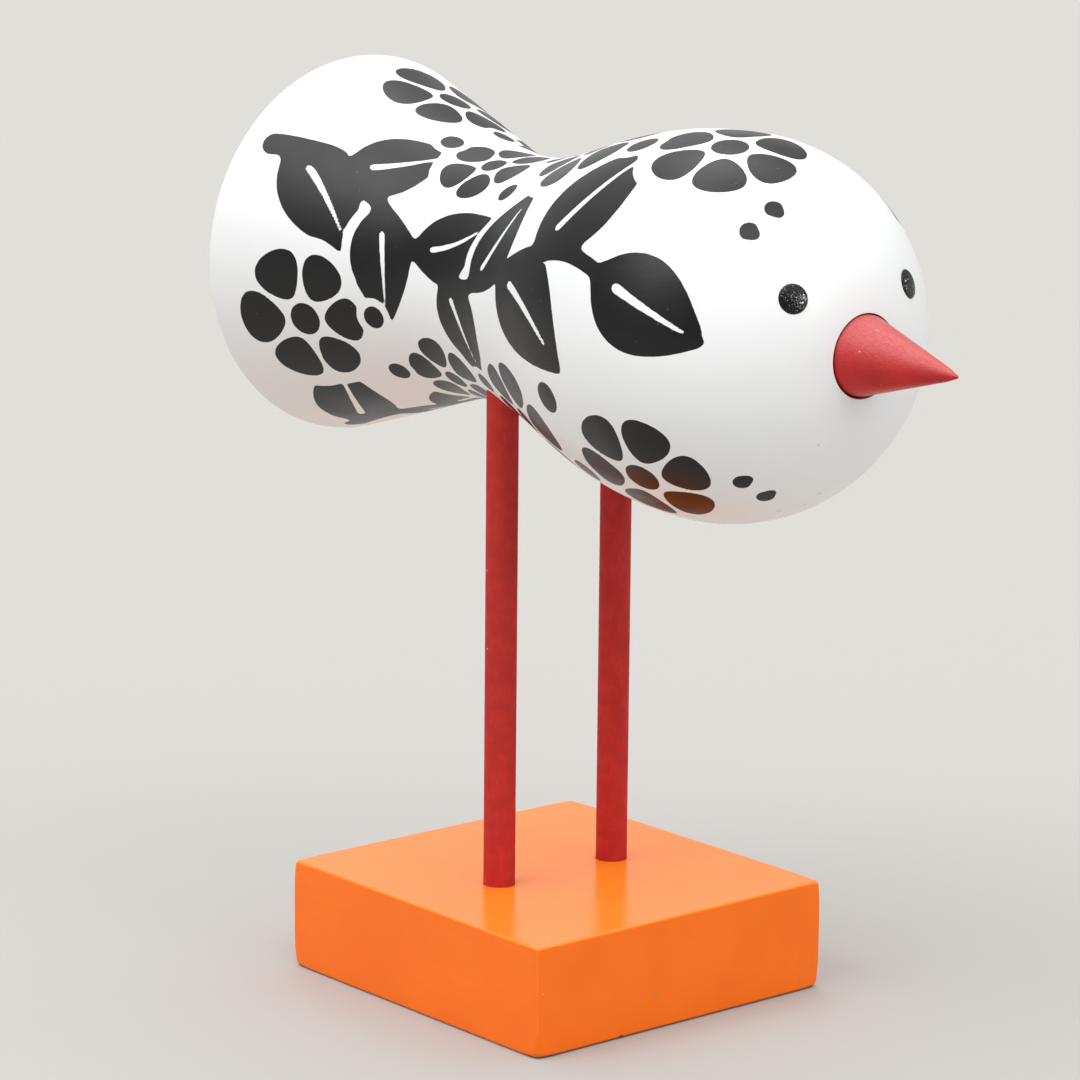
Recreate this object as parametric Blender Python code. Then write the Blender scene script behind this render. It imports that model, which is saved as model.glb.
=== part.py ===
"""Wooden bird standing on two round legs over a flat block, at its real size.

Metres, +Z up. The origin is the middle of the block's underside. +X is the way the
beak points and +Y is the bird's left. Along the turned body, a station is the distance
from the line of the legs, positive towards the beak.
"""

import math

import bmesh
import bpy
from mathutils import Matrix, Vector
from mathutils.geometry import interpolate_bezier

MM = 0.001

# Fit of every piece that sits in a hole of another, on all sides and at the end
FIT_GAP = 0.3 * MM

# Block
BLOCK_LENGTH = 99.2 * MM
BLOCK_WIDTH = 95.2 * MM
BLOCK_HEIGHT = 28.5 * MM
BLOCK_EDGE_RADIUS = 1.0 * MM
BLOCK_EDGE_SEGMENTS = 3

# Legs
LEG_DIAMETER = 8.15 * MM
LEG_SPACING = 38.0 * MM
LEG_CLEAR_LENGTH = 125.2 * MM
LEG_DEPTH_IN_BLOCK = 20.0 * MM
LEG_DEPTH_IN_BODY = 24.0 * MM
LEG_SIDES = 32

# Turned body, from tail to nose
TAIL_LENGTH = 82.7 * MM
TAIL_RADIUS = 49.8 * MM
TAIL_EDGE_RADIUS = 1.0 * MM
FLARE_ANGLE = math.radians(17.4)
FLARE_FULLNESS = 0.78
WAIST_STATION = -15.3 * MM
WAIST_RADIUS = 31.7 * MM
WAIST_FULLNESS = 0.22
NECK_FULLNESS = 0.38
CHEEK_FULLNESS = 0.46
HEAD_STATION = 64.2 * MM
HEAD_RADIUS = 47.4 * MM
NOSE_REACH = 46.4 * MM
BODY_NOSE_DOWN = math.radians(1.27)
BODY_SIDES = 64
NOSE_STEPS = 12
NECK_STEPS = 14
FLARE_STEPS = 10
TAIL_EDGE_STEPS = 3

# Beak
BEAK_DIAMETER = 19.5 * MM
BEAK_LENGTH = 30.6 * MM
BEAK_TIP_RADIUS = 0.9 * MM
BEAK_RISE = 0.5 * MM
BEAK_DEPTH_IN_HEAD = 8.0 * MM
BEAK_SIDES = 40
BEAK_TIP_STEPS = 4

# Eyes
EYE_DIAMETER = 7.1 * MM
EYE_FROM_AXIS = 24.0 * MM
EYE_FROM_CREST = math.radians(51.0)
EYE_PROUD = 0.2 * MM
EYE_DOME = 0.3 * MM
EYE_DEPTH_IN_HEAD = 4.0 * MM
EYE_SIDES = 32
EYE_DOME_STEPS = 3

# How far a drill that opens a hole starts outside the surface
DRILL_RUN_IN = 6.0 * MM

WHITE_LACQUER = ((0.86, 0.86, 0.85, 1.0), 0.35)
RED_PAINT = ((0.55, 0.028, 0.028, 1.0), 0.5)
ORANGE_PAINT = ((0.93, 0.17, 0.017, 1.0), 0.45)
BLACK_GLOSS = ((0.012, 0.012, 0.014, 1.0), 0.25)


def clear_scene():
    """Empty the scene without closing the file."""
    for item in list(bpy.data.objects):
        bpy.data.objects.remove(item, do_unlink=True)


def make_material(name, look):
    """A painted surface: look holds the base colour and the roughness."""
    colour, roughness = look
    material = bpy.data.materials.new(name)
    material.use_nodes = True
    shader = material.node_tree.nodes["Principled BSDF"]
    shader.inputs["Base Color"].default_value = colour
    shader.inputs["Roughness"].default_value = roughness
    shader.inputs["Metallic"].default_value = 0.0
    material.diffuse_color = colour
    return material


def link_object(name, mesh, parent=None, material=None):
    """Put a mesh in the scene as a named object."""
    item = bpy.data.objects.new(name, mesh)
    bpy.context.scene.collection.objects.link(item)
    item.parent = parent
    if material is not None:
        mesh.materials.append(material)
    return item


def arc(centre, radius, start, end, steps):
    """Points (radius, height) of an arc, its two ends included."""
    points = []
    for step in range(steps + 1):
        angle = start + (end - start) * step / steps
        points.append((centre[0] + radius * math.cos(angle), centre[1] + radius * math.sin(angle)))
    return points


def turned_object(name, profile, sides, parent, material=None):
    """A closed turned piece about its local Z; profile runs from its top to its bottom."""
    mesh = bpy.data.meshes.new(name)
    points = [(radius, 0.0, height) for radius, height in profile]
    edges = [(index, index + 1) for index in range(len(points) - 1)]
    mesh.from_pydata(points, edges, [])
    item = link_object(name, mesh, parent, material)
    screw = item.modifiers.new("turning", "SCREW")
    screw.axis = "Z"
    screw.angle = math.tau
    screw.steps = sides
    screw.render_steps = sides
    screw.use_merge_vertices = True
    screw.merge_threshold = 0.00005
    screw.use_smooth_shade = True
    return item


def round_bar(name, radius, bottom, top, sides, parent=None, material=None):
    """A straight round bar about its local Z between two heights."""
    mesh = bpy.data.meshes.new(name)
    shape = bmesh.new()
    bmesh.ops.create_cone(
        shape,
        cap_ends=True,
        segments=sides,
        radius1=radius,
        radius2=radius,
        depth=top - bottom,
        matrix=Matrix.Translation((0.0, 0.0, (top + bottom) / 2)),
    )
    shape.to_mesh(mesh)
    shape.free()
    mesh.shade_smooth()
    mesh.set_sharp_from_angle(angle=math.radians(40))
    return link_object(name, mesh, parent, material)


def drill(target, cutter):
    """Cut the cutter's shape out of the target and keep the cutter as a guide."""
    cutter.hide_render = True
    cutter.display_type = "WIRE"
    cut = target.modifiers.new(cutter.name, "BOOLEAN")
    cut.operation = "DIFFERENCE"
    cut.solver = "EXACT"
    cut.object = cutter


def nose_tip():
    """Station of the nose's end."""
    return HEAD_STATION + NOSE_REACH


def head_station_at(radius):
    """Station of the front of the head where it has this radius."""
    return HEAD_STATION + NOSE_REACH * math.sqrt(1.0 - (radius / HEAD_RADIUS) ** 2)


def nose_outline():
    """Quarter ellipse from the nose's tip back to the widest part of the head."""
    points = []
    for step in range(NOSE_STEPS):
        angle = math.pi / 2 * step / NOSE_STEPS
        points.append((HEAD_RADIUS * math.sin(angle), HEAD_STATION + NOSE_REACH * math.cos(angle)))
    return points


def neck_outline():
    """Smooth curve from the widest part of the head to the waist, both ends level."""
    reach = HEAD_STATION - WAIST_STATION
    head = Vector((HEAD_RADIUS, HEAD_STATION))
    waist = Vector((WAIST_RADIUS, WAIST_STATION))
    cheek_handle = head - Vector((0.0, CHEEK_FULLNESS * reach))
    neck_handle = waist + Vector((0.0, NECK_FULLNESS * reach))
    curve = interpolate_bezier(head, cheek_handle, neck_handle, waist, NECK_STEPS + 1)
    return [tuple(point) for point in curve[:-1]]


def tail_edge_outline():
    """Rounded edge where the flare meets the flat tail end."""
    centre = (TAIL_RADIUS - TAIL_EDGE_RADIUS, TAIL_EDGE_RADIUS - TAIL_LENGTH)
    return arc(centre, TAIL_EDGE_RADIUS, FLARE_ANGLE, -math.pi / 2, TAIL_EDGE_STEPS)


def flare_outline():
    """Curve from the waist, level, to the straight-running flare of the tail."""
    waist = Vector((WAIST_RADIUS, WAIST_STATION))
    edge = Vector(tail_edge_outline()[0])
    reach = WAIST_STATION - edge.y
    waist_handle = waist - Vector((0.0, WAIST_FULLNESS * reach))
    flare_handle = edge + FLARE_FULLNESS * reach * Vector((-math.tan(FLARE_ANGLE), 1.0))
    curve = interpolate_bezier(waist, waist_handle, flare_handle, edge, FLARE_STEPS + 1)
    return [tuple(point) for point in curve[:-1]]


def body_outline():
    """The whole turned outline as (radius, station), from the nose's tip to the tail's middle."""
    outline = nose_outline() + neck_outline() + flare_outline() + tail_edge_outline()
    outline.append((0.0, -TAIL_LENGTH))
    return outline


def body_radius_at(station):
    """Radius of the turned body between the waist and the head at this station."""
    outline = neck_outline() + flare_outline()
    for front, back in zip(outline, outline[1:]):
        if back[1] <= station <= front[1]:
            share = (station - back[1]) / (front[1] - back[1])
            return back[0] + share * (front[0] - back[0])
    return WAIST_RADIUS


def belly_drop():
    """How far the body's skin at a leg lies under the body's axis."""
    return math.sqrt(body_radius_at(0.0) ** 2 - (LEG_SPACING / 2) ** 2)


def body_axis_height():
    """Height of the turned body's axis above the ground at the line of the legs."""
    return BLOCK_HEIGHT + LEG_CLEAR_LENGTH + belly_drop()


def beak_seat():
    """Station of the rim of the beak's pocket."""
    return head_station_at(BEAK_DIAMETER / 2 + FIT_GAP)


def beak_half_angle():
    """Half angle of a cone of the beak's width and length with its rounded tip."""
    radius = BEAK_DIAMETER / 2
    low = 0.0
    high = math.pi / 2
    for _ in range(50):
        angle = (low + high) / 2
        apex = BEAK_LENGTH - BEAK_TIP_RADIUS + BEAK_TIP_RADIUS / math.sin(angle or high)
        if apex * math.tan(angle) < radius:
            low = angle
        else:
            high = angle
    return (low + high) / 2


def build_block():
    """Block with two blind holes for the legs."""
    mesh = bpy.data.meshes.new("base_block")
    shape = bmesh.new()
    bmesh.ops.create_cube(shape, size=1.0)
    bmesh.ops.scale(shape, vec=(BLOCK_LENGTH, BLOCK_WIDTH, BLOCK_HEIGHT), verts=shape.verts)
    bmesh.ops.translate(shape, vec=(0.0, 0.0, BLOCK_HEIGHT / 2), verts=shape.verts)
    shape.to_mesh(mesh)
    shape.free()
    block = link_object("base_block", mesh, None, make_material("orange_paint", ORANGE_PAINT))
    edges = block.modifiers.new("eased_edges", "BEVEL")
    edges.width = BLOCK_EDGE_RADIUS
    edges.segments = BLOCK_EDGE_SEGMENTS
    edges.limit_method = "ANGLE"
    return block


def build_body(frame):
    """Turned body lying along the frame's X axis."""
    profile = body_outline()
    body = turned_object("body", profile, BODY_SIDES, frame, make_material("white_lacquer", WHITE_LACQUER))
    body.rotation_euler = (0.0, math.pi / 2, 0.0)
    return body


def build_legs(block, body):
    """Two dowels, each in a hole of the block and a hole of the body."""
    material = make_material("red_paint", RED_PAINT)
    hole_radius = LEG_DIAMETER / 2 + FIT_GAP
    floor = BLOCK_HEIGHT - LEG_DEPTH_IN_BLOCK
    belly = BLOCK_HEIGHT + LEG_CLEAR_LENGTH
    roof = belly + LEG_DEPTH_IN_BODY
    for name, side in (("left", 1), ("right", -1)):
        place = (0.0, side * LEG_SPACING / 2, 0.0)
        leg = round_bar(
            f"leg_{name}", LEG_DIAMETER / 2, floor + FIT_GAP, roof - FIT_GAP, LEG_SIDES, None, material
        )
        leg.location = place
        block_drill = round_bar(f"block_hole_{name}", hole_radius, floor, BLOCK_HEIGHT + DRILL_RUN_IN, LEG_SIDES)
        block_drill.location = place
        drill(block, block_drill)
        body_drill = round_bar(f"belly_hole_{name}", hole_radius, belly - 2 * DRILL_RUN_IN, roof, LEG_SIDES)
        body_drill.location = place
        drill(body, body_drill)


def build_beak(frame, body):
    """Cone with a rounded tip on a short plug, set in a flat-bottomed pocket."""
    radius = BEAK_DIAMETER / 2
    angle = beak_half_angle()
    centre = (0.0, BEAK_LENGTH - BEAK_TIP_RADIUS)
    tip = arc(centre, BEAK_TIP_RADIUS, math.pi / 2, angle, BEAK_TIP_STEPS)
    tip[0] = (0.0, BEAK_LENGTH)
    back = FIT_GAP - BEAK_DEPTH_IN_HEAD
    profile = tip + [(radius, 0.0), (radius, back), (0.0, back)]
    beak = turned_object("beak", profile, BEAK_SIDES, frame, make_material("beak_red_paint", RED_PAINT))
    beak.location = (beak_seat(), 0.0, BEAK_RISE)
    beak.rotation_euler = (0.0, math.pi / 2, 0.0)
    pocket = round_bar(
        "beak_pocket", radius + FIT_GAP, -BEAK_DEPTH_IN_HEAD, DRILL_RUN_IN, BEAK_SIDES, frame
    )
    pocket.location = beak.location
    pocket.rotation_euler = beak.rotation_euler
    drill(body, pocket)


def build_eyes(frame, body):
    """Two short domed plugs square to the front of the head."""
    material = make_material("black_gloss", BLACK_GLOSS)
    radius = EYE_DIAMETER / 2
    station = head_station_at(EYE_FROM_AXIS)
    profile = []
    for step in range(EYE_DOME_STEPS + 1):
        share = step / EYE_DOME_STEPS
        profile.append((radius * share, EYE_PROUD + EYE_DOME * (1.0 - share**2)))
    back = FIT_GAP - EYE_DEPTH_IN_HEAD
    profile += [(radius, back), (0.0, back)]
    for name, side in (("left", 1), ("right", -1)):
        across = EYE_FROM_AXIS * side * math.sin(EYE_FROM_CREST)
        above = EYE_FROM_AXIS * math.cos(EYE_FROM_CREST)
        forward = (station - HEAD_STATION) / NOSE_REACH**2
        outward = Vector((forward, across / HEAD_RADIUS**2, above / HEAD_RADIUS**2)).normalized()
        turn = outward.to_track_quat("Z", "Y").to_euler()
        eye = turned_object(f"eye_{name}", profile, EYE_SIDES, frame, material)
        eye.location = (station, across, above)
        eye.rotation_euler = turn
        socket = round_bar(
            f"eye_socket_{name}", radius + FIT_GAP, -EYE_DEPTH_IN_HEAD, DRILL_RUN_IN, EYE_SIDES, frame
        )
        socket.location = eye.location
        socket.rotation_euler = turn
        drill(body, socket)


def main():
    """Build every piece in its place."""
    clear_scene()
    frame = bpy.data.objects.new("body_frame", None)
    bpy.context.scene.collection.objects.link(frame)
    frame.location = (0.0, 0.0, body_axis_height())
    frame.rotation_euler = (0.0, BODY_NOSE_DOWN, 0.0)
    block = build_block()
    body = build_body(frame)
    build_legs(block, body)
    build_beak(frame, body)
    build_eyes(frame, body)
    bpy.context.view_layer.update()


main()
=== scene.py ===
"""Looks of a turned wooden bird: printed body on two painted legs over an orange block.

Metres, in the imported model's frame: the origin is the middle of the block's underside,
+X is the way the beak points, +Y is the bird's left and +Z is up. Along the turned body
a station is the distance from the line of the legs, positive towards the beak.
"""
import sys
import logging
import math
from dataclasses import dataclass, field
from enum import Enum
from typing import Sequence, Union

import bmesh
import bpy
import numpy as np
from mathutils import Matrix, Vector, noise
from mathutils.geometry import interpolate_bezier


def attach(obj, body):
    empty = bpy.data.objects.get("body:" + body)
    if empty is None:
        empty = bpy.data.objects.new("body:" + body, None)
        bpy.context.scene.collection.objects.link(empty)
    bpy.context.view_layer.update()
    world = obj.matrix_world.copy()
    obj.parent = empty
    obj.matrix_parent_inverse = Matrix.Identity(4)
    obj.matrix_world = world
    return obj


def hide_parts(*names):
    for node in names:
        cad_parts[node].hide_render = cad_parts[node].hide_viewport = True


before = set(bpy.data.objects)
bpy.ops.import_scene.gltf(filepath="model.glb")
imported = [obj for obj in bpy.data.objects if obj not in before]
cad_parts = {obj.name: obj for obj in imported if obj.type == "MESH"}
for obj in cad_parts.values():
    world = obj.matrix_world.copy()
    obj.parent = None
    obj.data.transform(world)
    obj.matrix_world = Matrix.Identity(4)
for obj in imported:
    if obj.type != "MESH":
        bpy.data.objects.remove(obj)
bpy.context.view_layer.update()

LOG = logging.getLogger("bird")
MM = 0.001
# Metres within which two points count as one.
WELD = 1e-6
# Least length that anything is divided by.
NEARLY_NONE = 1e-9
# Millimetres to the print's edge that stand for bare white.
FAR_FROM_INK = 30.0
# Millimetres that are more than any distance on the print.
FAR_AWAY = 1e3
ROOT_BODY = "root"

Colour = tuple[float, float, float]
Triple = tuple[float, float, float]
Feed = Union[bpy.types.NodeSocket, float, Sequence[float]]

ORIGIN: Triple = (0.0, 0.0, 0.0)
EVEN: Triple = (1.0, 1.0, 1.0)
CHIPPED: Colour = (0.80, 0.62, 0.52)
BARED: Colour = (0.20, 0.13, 0.075)
GRIT: Colour = (0.30, 0.28, 0.26)
SCUFF: Colour = (0.46, 0.45, 0.44)
STAIN: Colour = (0.45, 0.42, 0.38)
FAINT: Colour = (0.60, 0.58, 0.55)
# Near-black painted shade for a nick at the block's foot.
NICK_SHADE: Colour = (0.035, 0.016, 0.012)
SCORED: Colour = (0.62, 0.25, 0.12)


class Slot(Enum):
    """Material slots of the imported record."""

    BLOCK = "orange_block"
    LEGS = "red_legs"
    BODY = "white_body"
    BEAK = "red_beak"
    EYES = "black_eyes"


class Side(Enum):
    """The bird's two sides, as the sign of Y."""

    LEFT = 1
    RIGHT = -1

    @property
    def word(self) -> str:
        """Name of the side, as the CAD nodes write it."""
        return self.name.lower()


class NodeSheet:
    """Shorthand for laying nodes and links in one node tree."""

    def __init__(self, tree: bpy.types.NodeTree) -> None:
        """Work on this tree.

        Args:
            tree: Shader, world or geometry node tree to fill.
        """
        self.tree = tree

    def node(self, kind: str, **settings: object) -> bpy.types.Node:
        """Add a node.

        Args:
            kind: Blender's type name of the node.
            **settings: Properties to set on it.

        Returns:
            The new node.
        """
        made = self.tree.nodes.new(kind)
        for name, value in settings.items():
            setattr(made, name, value)
        return made

    def feed(self, socket: bpy.types.NodeSocket, source: Feed) -> None:
        """Link an output into a socket, or set the socket's own value.

        Args:
            socket: Input to fill.
            source: Output to link, or a plain value.
        """
        if isinstance(source, bpy.types.NodeSocket):
            self.tree.links.new(source, socket)
        else:
            socket.default_value = source

    def math(self, operation: str, *sources: Feed, clamp: bool = False) -> bpy.types.NodeSocket:
        """Calculate with numbers.

        Args:
            operation: Name of the operation.
            *sources: What it works on.
            clamp: Whether the result is kept between 0 and 1.

        Returns:
            The result's output.
        """
        made = self.node("ShaderNodeMath", operation=operation, use_clamp=clamp)
        for socket, source in zip(made.inputs, sources):
            self.feed(socket, source)
        return made.outputs[0]

    def vector(self, operation: str, *sources: Feed, out: str = "Vector") -> bpy.types.NodeSocket:
        """Calculate with vectors.

        Args:
            operation: Name of the operation.
            *sources: What it works on.
            out: Which output is wanted, Vector or Value.

        Returns:
            The result's output.
        """
        made = self.node("ShaderNodeVectorMath", operation=operation)
        for socket, source in zip(made.inputs, sources):
            self.feed(socket, source)
        return made.outputs[out]

    def ease(
        self, value: Feed, low: Feed, high: Feed, start: Feed = 0.0, end: Feed = 1.0
    ) -> bpy.types.NodeSocket:
        """Smooth step of a value between two limits.

        Args:
            value: What is mapped.
            low: Where the result is still start.
            high: Where the result has become end.
            start: Result below low.
            end: Result above high.

        Returns:
            The result's output.
        """
        made = self.node("ShaderNodeMapRange", interpolation_type="SMOOTHSTEP")
        names = ("Value", "From Min", "From Max", "To Min", "To Max")
        for name, source in zip(names, (value, low, high, start, end)):
            self.feed(made.inputs[name], source)
        return made.outputs["Result"]

    def blend(self, factor: Feed, first: Feed, second: Feed) -> bpy.types.NodeSocket:
        """Mix two colours.

        Args:
            factor: Share of the second colour.
            first: Colour at 0.
            second: Colour at 1.

        Returns:
            The mixed colour's output.
        """
        made = self.node("ShaderNodeMix", data_type="RGBA")
        self.feed(made.inputs["Factor"], factor)
        self.feed(made.inputs["A"], first)
        self.feed(made.inputs["B"], second)
        for socket in made.outputs:
            if socket.type == "RGBA":
                return socket
        raise ValueError("the mix node has no colour output")

    def noise(
        self, position: Feed, scale: Feed, detail: float = 2.0, rough: float = 0.5
    ) -> bpy.types.NodeSocket:
        """Smooth noise around a half.

        Args:
            position: Where it is read.
            scale: Lumps to a metre, roughly.
            detail: How many finer layers it has.
            rough: Strength of the finer layers.

        Returns:
            The noise's output.
        """
        made = self.node("ShaderNodeTexNoise")
        self.feed(made.inputs["Vector"], position)
        self.feed(made.inputs["Scale"], scale)
        made.inputs["Detail"].default_value = detail
        made.inputs["Roughness"].default_value = rough
        return made.outputs[0]

    def waver(
        self, position: Feed, scale: Feed, reach: Feed, detail: float = 2.0, rough: float = 0.5
    ) -> bpy.types.NodeSocket:
        """Smooth noise around nought.

        Args:
            position: Where it is read.
            scale: Lumps to a metre, roughly.
            reach: Whole width of its swing.
            detail: How many finer layers it has.
            rough: Strength of the finer layers.

        Returns:
            The noise's output.
        """
        centred = self.math("SUBTRACT", self.noise(position, scale, detail, rough), 0.5)
        return self.math("MULTIPLY", centred, reach)

    def effect(self, group: bpy.types.NodeTree, **inputs: Feed) -> bpy.types.Node:
        """Place a shared effect with its own values.

        Args:
            group: The effect's node group.
            **inputs: Values by input name, with an underscore for each space.

        Returns:
            The group node.
        """
        made = self.node("ShaderNodeGroup", node_tree=group, label=group.name)
        for name, source in inputs.items():
            self.feed(made.inputs[name.replace("_", " ")], source)
        return made


def rgba(colour: Colour) -> tuple[float, float, float, float]:
    """Opaque colour with its fourth number."""
    return (*colour, 1.0)


class EffectLibrary:
    """Shader node groups that the finishes share, each built once."""

    def __init__(self) -> None:
        """Build every group."""
        self.film = self._paint_film()
        self.specks = self._specks()
        self.scratch = self._scratch()
        self.blemish = self._blemish()
        self.edge_wear = self._edge_wear()
        self.handling = self._handling()

    @staticmethod
    def _open(
        name: str, inputs: dict[str, Union[float, Triple]], outputs: Sequence[str]
    ) -> tuple[NodeSheet, bpy.types.Node, bpy.types.Node]:
        """Start a group with its sockets.

        Args:
            name: Name of the effect.
            inputs: Starting value of each input; three numbers make a vector.
            outputs: Names of the number outputs.

        Returns:
            The group's sheet, its input node and its output node.
        """
        tree = bpy.data.node_groups.new(name, "ShaderNodeTree")
        for label, value in inputs.items():
            kind = "NodeSocketVector" if isinstance(value, tuple) else "NodeSocketFloat"
            socket = tree.interface.new_socket(label, in_out="INPUT", socket_type=kind)
            socket.default_value = value
        for label in outputs:
            tree.interface.new_socket(label, in_out="OUTPUT", socket_type="NodeSocketFloat")
        sheet = NodeSheet(tree)
        return sheet, sheet.node("NodeGroupInput"), sheet.node("NodeGroupOutput")

    def _paint_film(self) -> bpy.types.NodeTree:
        """Skin of sprayed paint over turned or sawn wood.

        Returns:
            Group with a fine peel, the grain that shows through and slow clouds of tone.
        """
        scales = {"Peel Scale": 1400.0, "Grain Scale": 700.0, "Cloud Scale": 35.0}
        sheet, given, made = self._open(
            "paint_film", {"Position": ORIGIN, "Stretch": EVEN, **scales}, ("Peel", "Grain", "Cloud")
        )
        spot = given.outputs["Position"]
        drawn_out = sheet.vector("MULTIPLY", spot, given.outputs["Stretch"])
        peel = sheet.noise(spot, given.outputs["Peel Scale"], detail=3.0, rough=0.55)
        grain = sheet.noise(drawn_out, given.outputs["Grain Scale"], detail=3.0, rough=0.6)
        cloud = sheet.noise(spot, given.outputs["Cloud Scale"])
        for name, source in (("Peel", peel), ("Grain", grain), ("Cloud", cloud)):
            sheet.feed(made.inputs[name], source)
        return sheet.tree

    def _specks(self) -> bpy.types.NodeTree:
        """Scattered round specks, as of dust under a lacquer.

        Returns:
            Group whose mask is 1 inside a speck.
        """
        smallest, hard_core = 0.4, 0.5
        sheet, given, made = self._open(
            "specks", {"Position": ORIGIN, "Scale": 400.0, "Share": 0.2, "Size": 0.1}, ("Mask",)
        )
        cells = sheet.node("ShaderNodeTexVoronoi")
        sheet.feed(cells.inputs["Vector"], given.outputs["Position"])
        sheet.feed(cells.inputs["Scale"], given.outputs["Scale"])
        draw = sheet.node("ShaderNodeSeparateXYZ")
        sheet.feed(draw.inputs[0], cells.outputs["Color"])
        kept = sheet.math("LESS_THAN", draw.outputs["X"], given.outputs["Share"])
        growth = sheet.math("ADD", draw.outputs["Y"], smallest)
        size = sheet.math("MULTIPLY", given.outputs["Size"], growth)
        core = sheet.math("MULTIPLY", size, hard_core)
        spot = sheet.ease(cells.outputs["Distance"], core, size, 1.0, 0.0)
        sheet.feed(made.inputs["Mask"], sheet.math("MULTIPLY", spot, kept))
        return sheet.tree

    def _scratch(self) -> bpy.types.NodeTree:
        """One wavering scratch of a given place, direction and length.

        Returns:
            Group whose mask is 1 on the scratch.
        """
        waver_scale, break_scale = 260.0, 1800.0
        gone, whole = 0.38, 0.52
        place = {"Position": ORIGIN, "Centre": ORIGIN, "Along": (1.0, 0.0, 0.0), "Across": (0.0, 1.0, 0.0)}
        sizes = {"Length": 6.0 * MM, "Width": 0.3 * MM, "Waver": 0.8 * MM}
        sheet, given, made = self._open("scratch", {**place, **sizes}, ("Mask",))
        spot = given.outputs["Position"]
        away = sheet.vector("SUBTRACT", spot, given.outputs["Centre"])
        run = sheet.vector("DOT_PRODUCT", away, given.outputs["Along"], out="Value")
        aside = sheet.vector("DOT_PRODUCT", away, given.outputs["Across"], out="Value")
        swing = sheet.waver(spot, waver_scale, given.outputs["Waver"], detail=1.0)
        share = sheet.math("DIVIDE", sheet.math("MULTIPLY", run, 2.0), given.outputs["Length"])
        square = sheet.math("POWER", sheet.math("ABSOLUTE", share), 2.0)
        taper = sheet.math("SUBTRACT", 1.0, square, clamp=True)
        half = sheet.math("MULTIPLY", sheet.math("MULTIPLY", given.outputs["Width"], 0.5), taper)
        off = sheet.math("ABSOLUTE", sheet.math("ADD", aside, swing))
        line = sheet.ease(off, 0.0, sheet.math("ADD", half, WELD), 1.0, 0.0)
        broken = sheet.ease(sheet.noise(spot, break_scale), gone, whole)
        near = sheet.math("LESS_THAN", sheet.vector("LENGTH", away, out="Value"), given.outputs["Length"])
        mask = sheet.math("MULTIPLY", sheet.math("MULTIPLY", line, broken), near)
        sheet.feed(made.inputs["Mask"], mask)
        return sheet.tree

    def _blemish(self) -> bpy.types.NodeTree:
        """One ragged spot of a given place and size.

        Returns:
            Group whose mask is 1 inside the spot.
        """
        lump_scale, hard_core = 2200.0, 0.55
        sheet, given, made = self._open(
            "blemish", {"Position": ORIGIN, "Centre": ORIGIN, "Radius": 0.5 * MM, "Ragged": 0.5}, ("Mask",)
        )
        spot, radius = given.outputs["Position"], given.outputs["Radius"]
        away = sheet.vector("DISTANCE", spot, given.outputs["Centre"], out="Value")
        ragged = sheet.math("MULTIPLY", sheet.waver(spot, lump_scale, given.outputs["Ragged"]), radius)
        inner = sheet.math("MULTIPLY", radius, hard_core)
        sheet.feed(made.inputs["Mask"], sheet.ease(sheet.math("ADD", away, ragged), inner, radius, 1.0, 0.0))
        return sheet.tree

    def _edge_wear(self) -> bpy.types.NodeTree:
        """Rubbed arris, from a stored distance to the nearest edge in millimetres.

        Returns:
            Group whose mask is 1 where the paint has worn.
        """
        softness = 0.3
        sizes = {"Edge": 0.0, "Reach": 0.5, "Ragged": 1.0, "Scale": 300.0}
        sheet, given, made = self._open("edge_wear", {"Position": ORIGIN, **sizes}, ("Mask",))
        spot, scale = given.outputs["Position"], given.outputs["Scale"]
        ragged = sheet.waver(spot, scale, given.outputs["Ragged"], detail=3.0, rough=0.6)
        reach = sheet.math("ADD", given.outputs["Reach"], ragged)
        worn = sheet.ease(sheet.math("SUBTRACT", reach, given.outputs["Edge"]), 0.0, softness)
        sheet.feed(made.inputs["Mask"], worn)
        return sheet.tree

    def _handling(self) -> bpy.types.NodeTree:
        """Gloss that changes a little over the surface, as handling leaves it.

        Returns:
            Group whose output is the roughness.
        """
        sheet, given, made = self._open(
            "handling", {"Position": ORIGIN, "Scale": 60.0, "Low": 0.3, "High": 0.4}, ("Roughness",)
        )
        patches = sheet.noise(given.outputs["Position"], given.outputs["Scale"], detail=4.0, rough=0.6)
        least, most = 0.35, 0.65
        roughness = sheet.ease(patches, least, most, given.outputs["Low"], given.outputs["High"])
        sheet.feed(made.inputs["Roughness"], roughness)
        return sheet.tree


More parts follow.
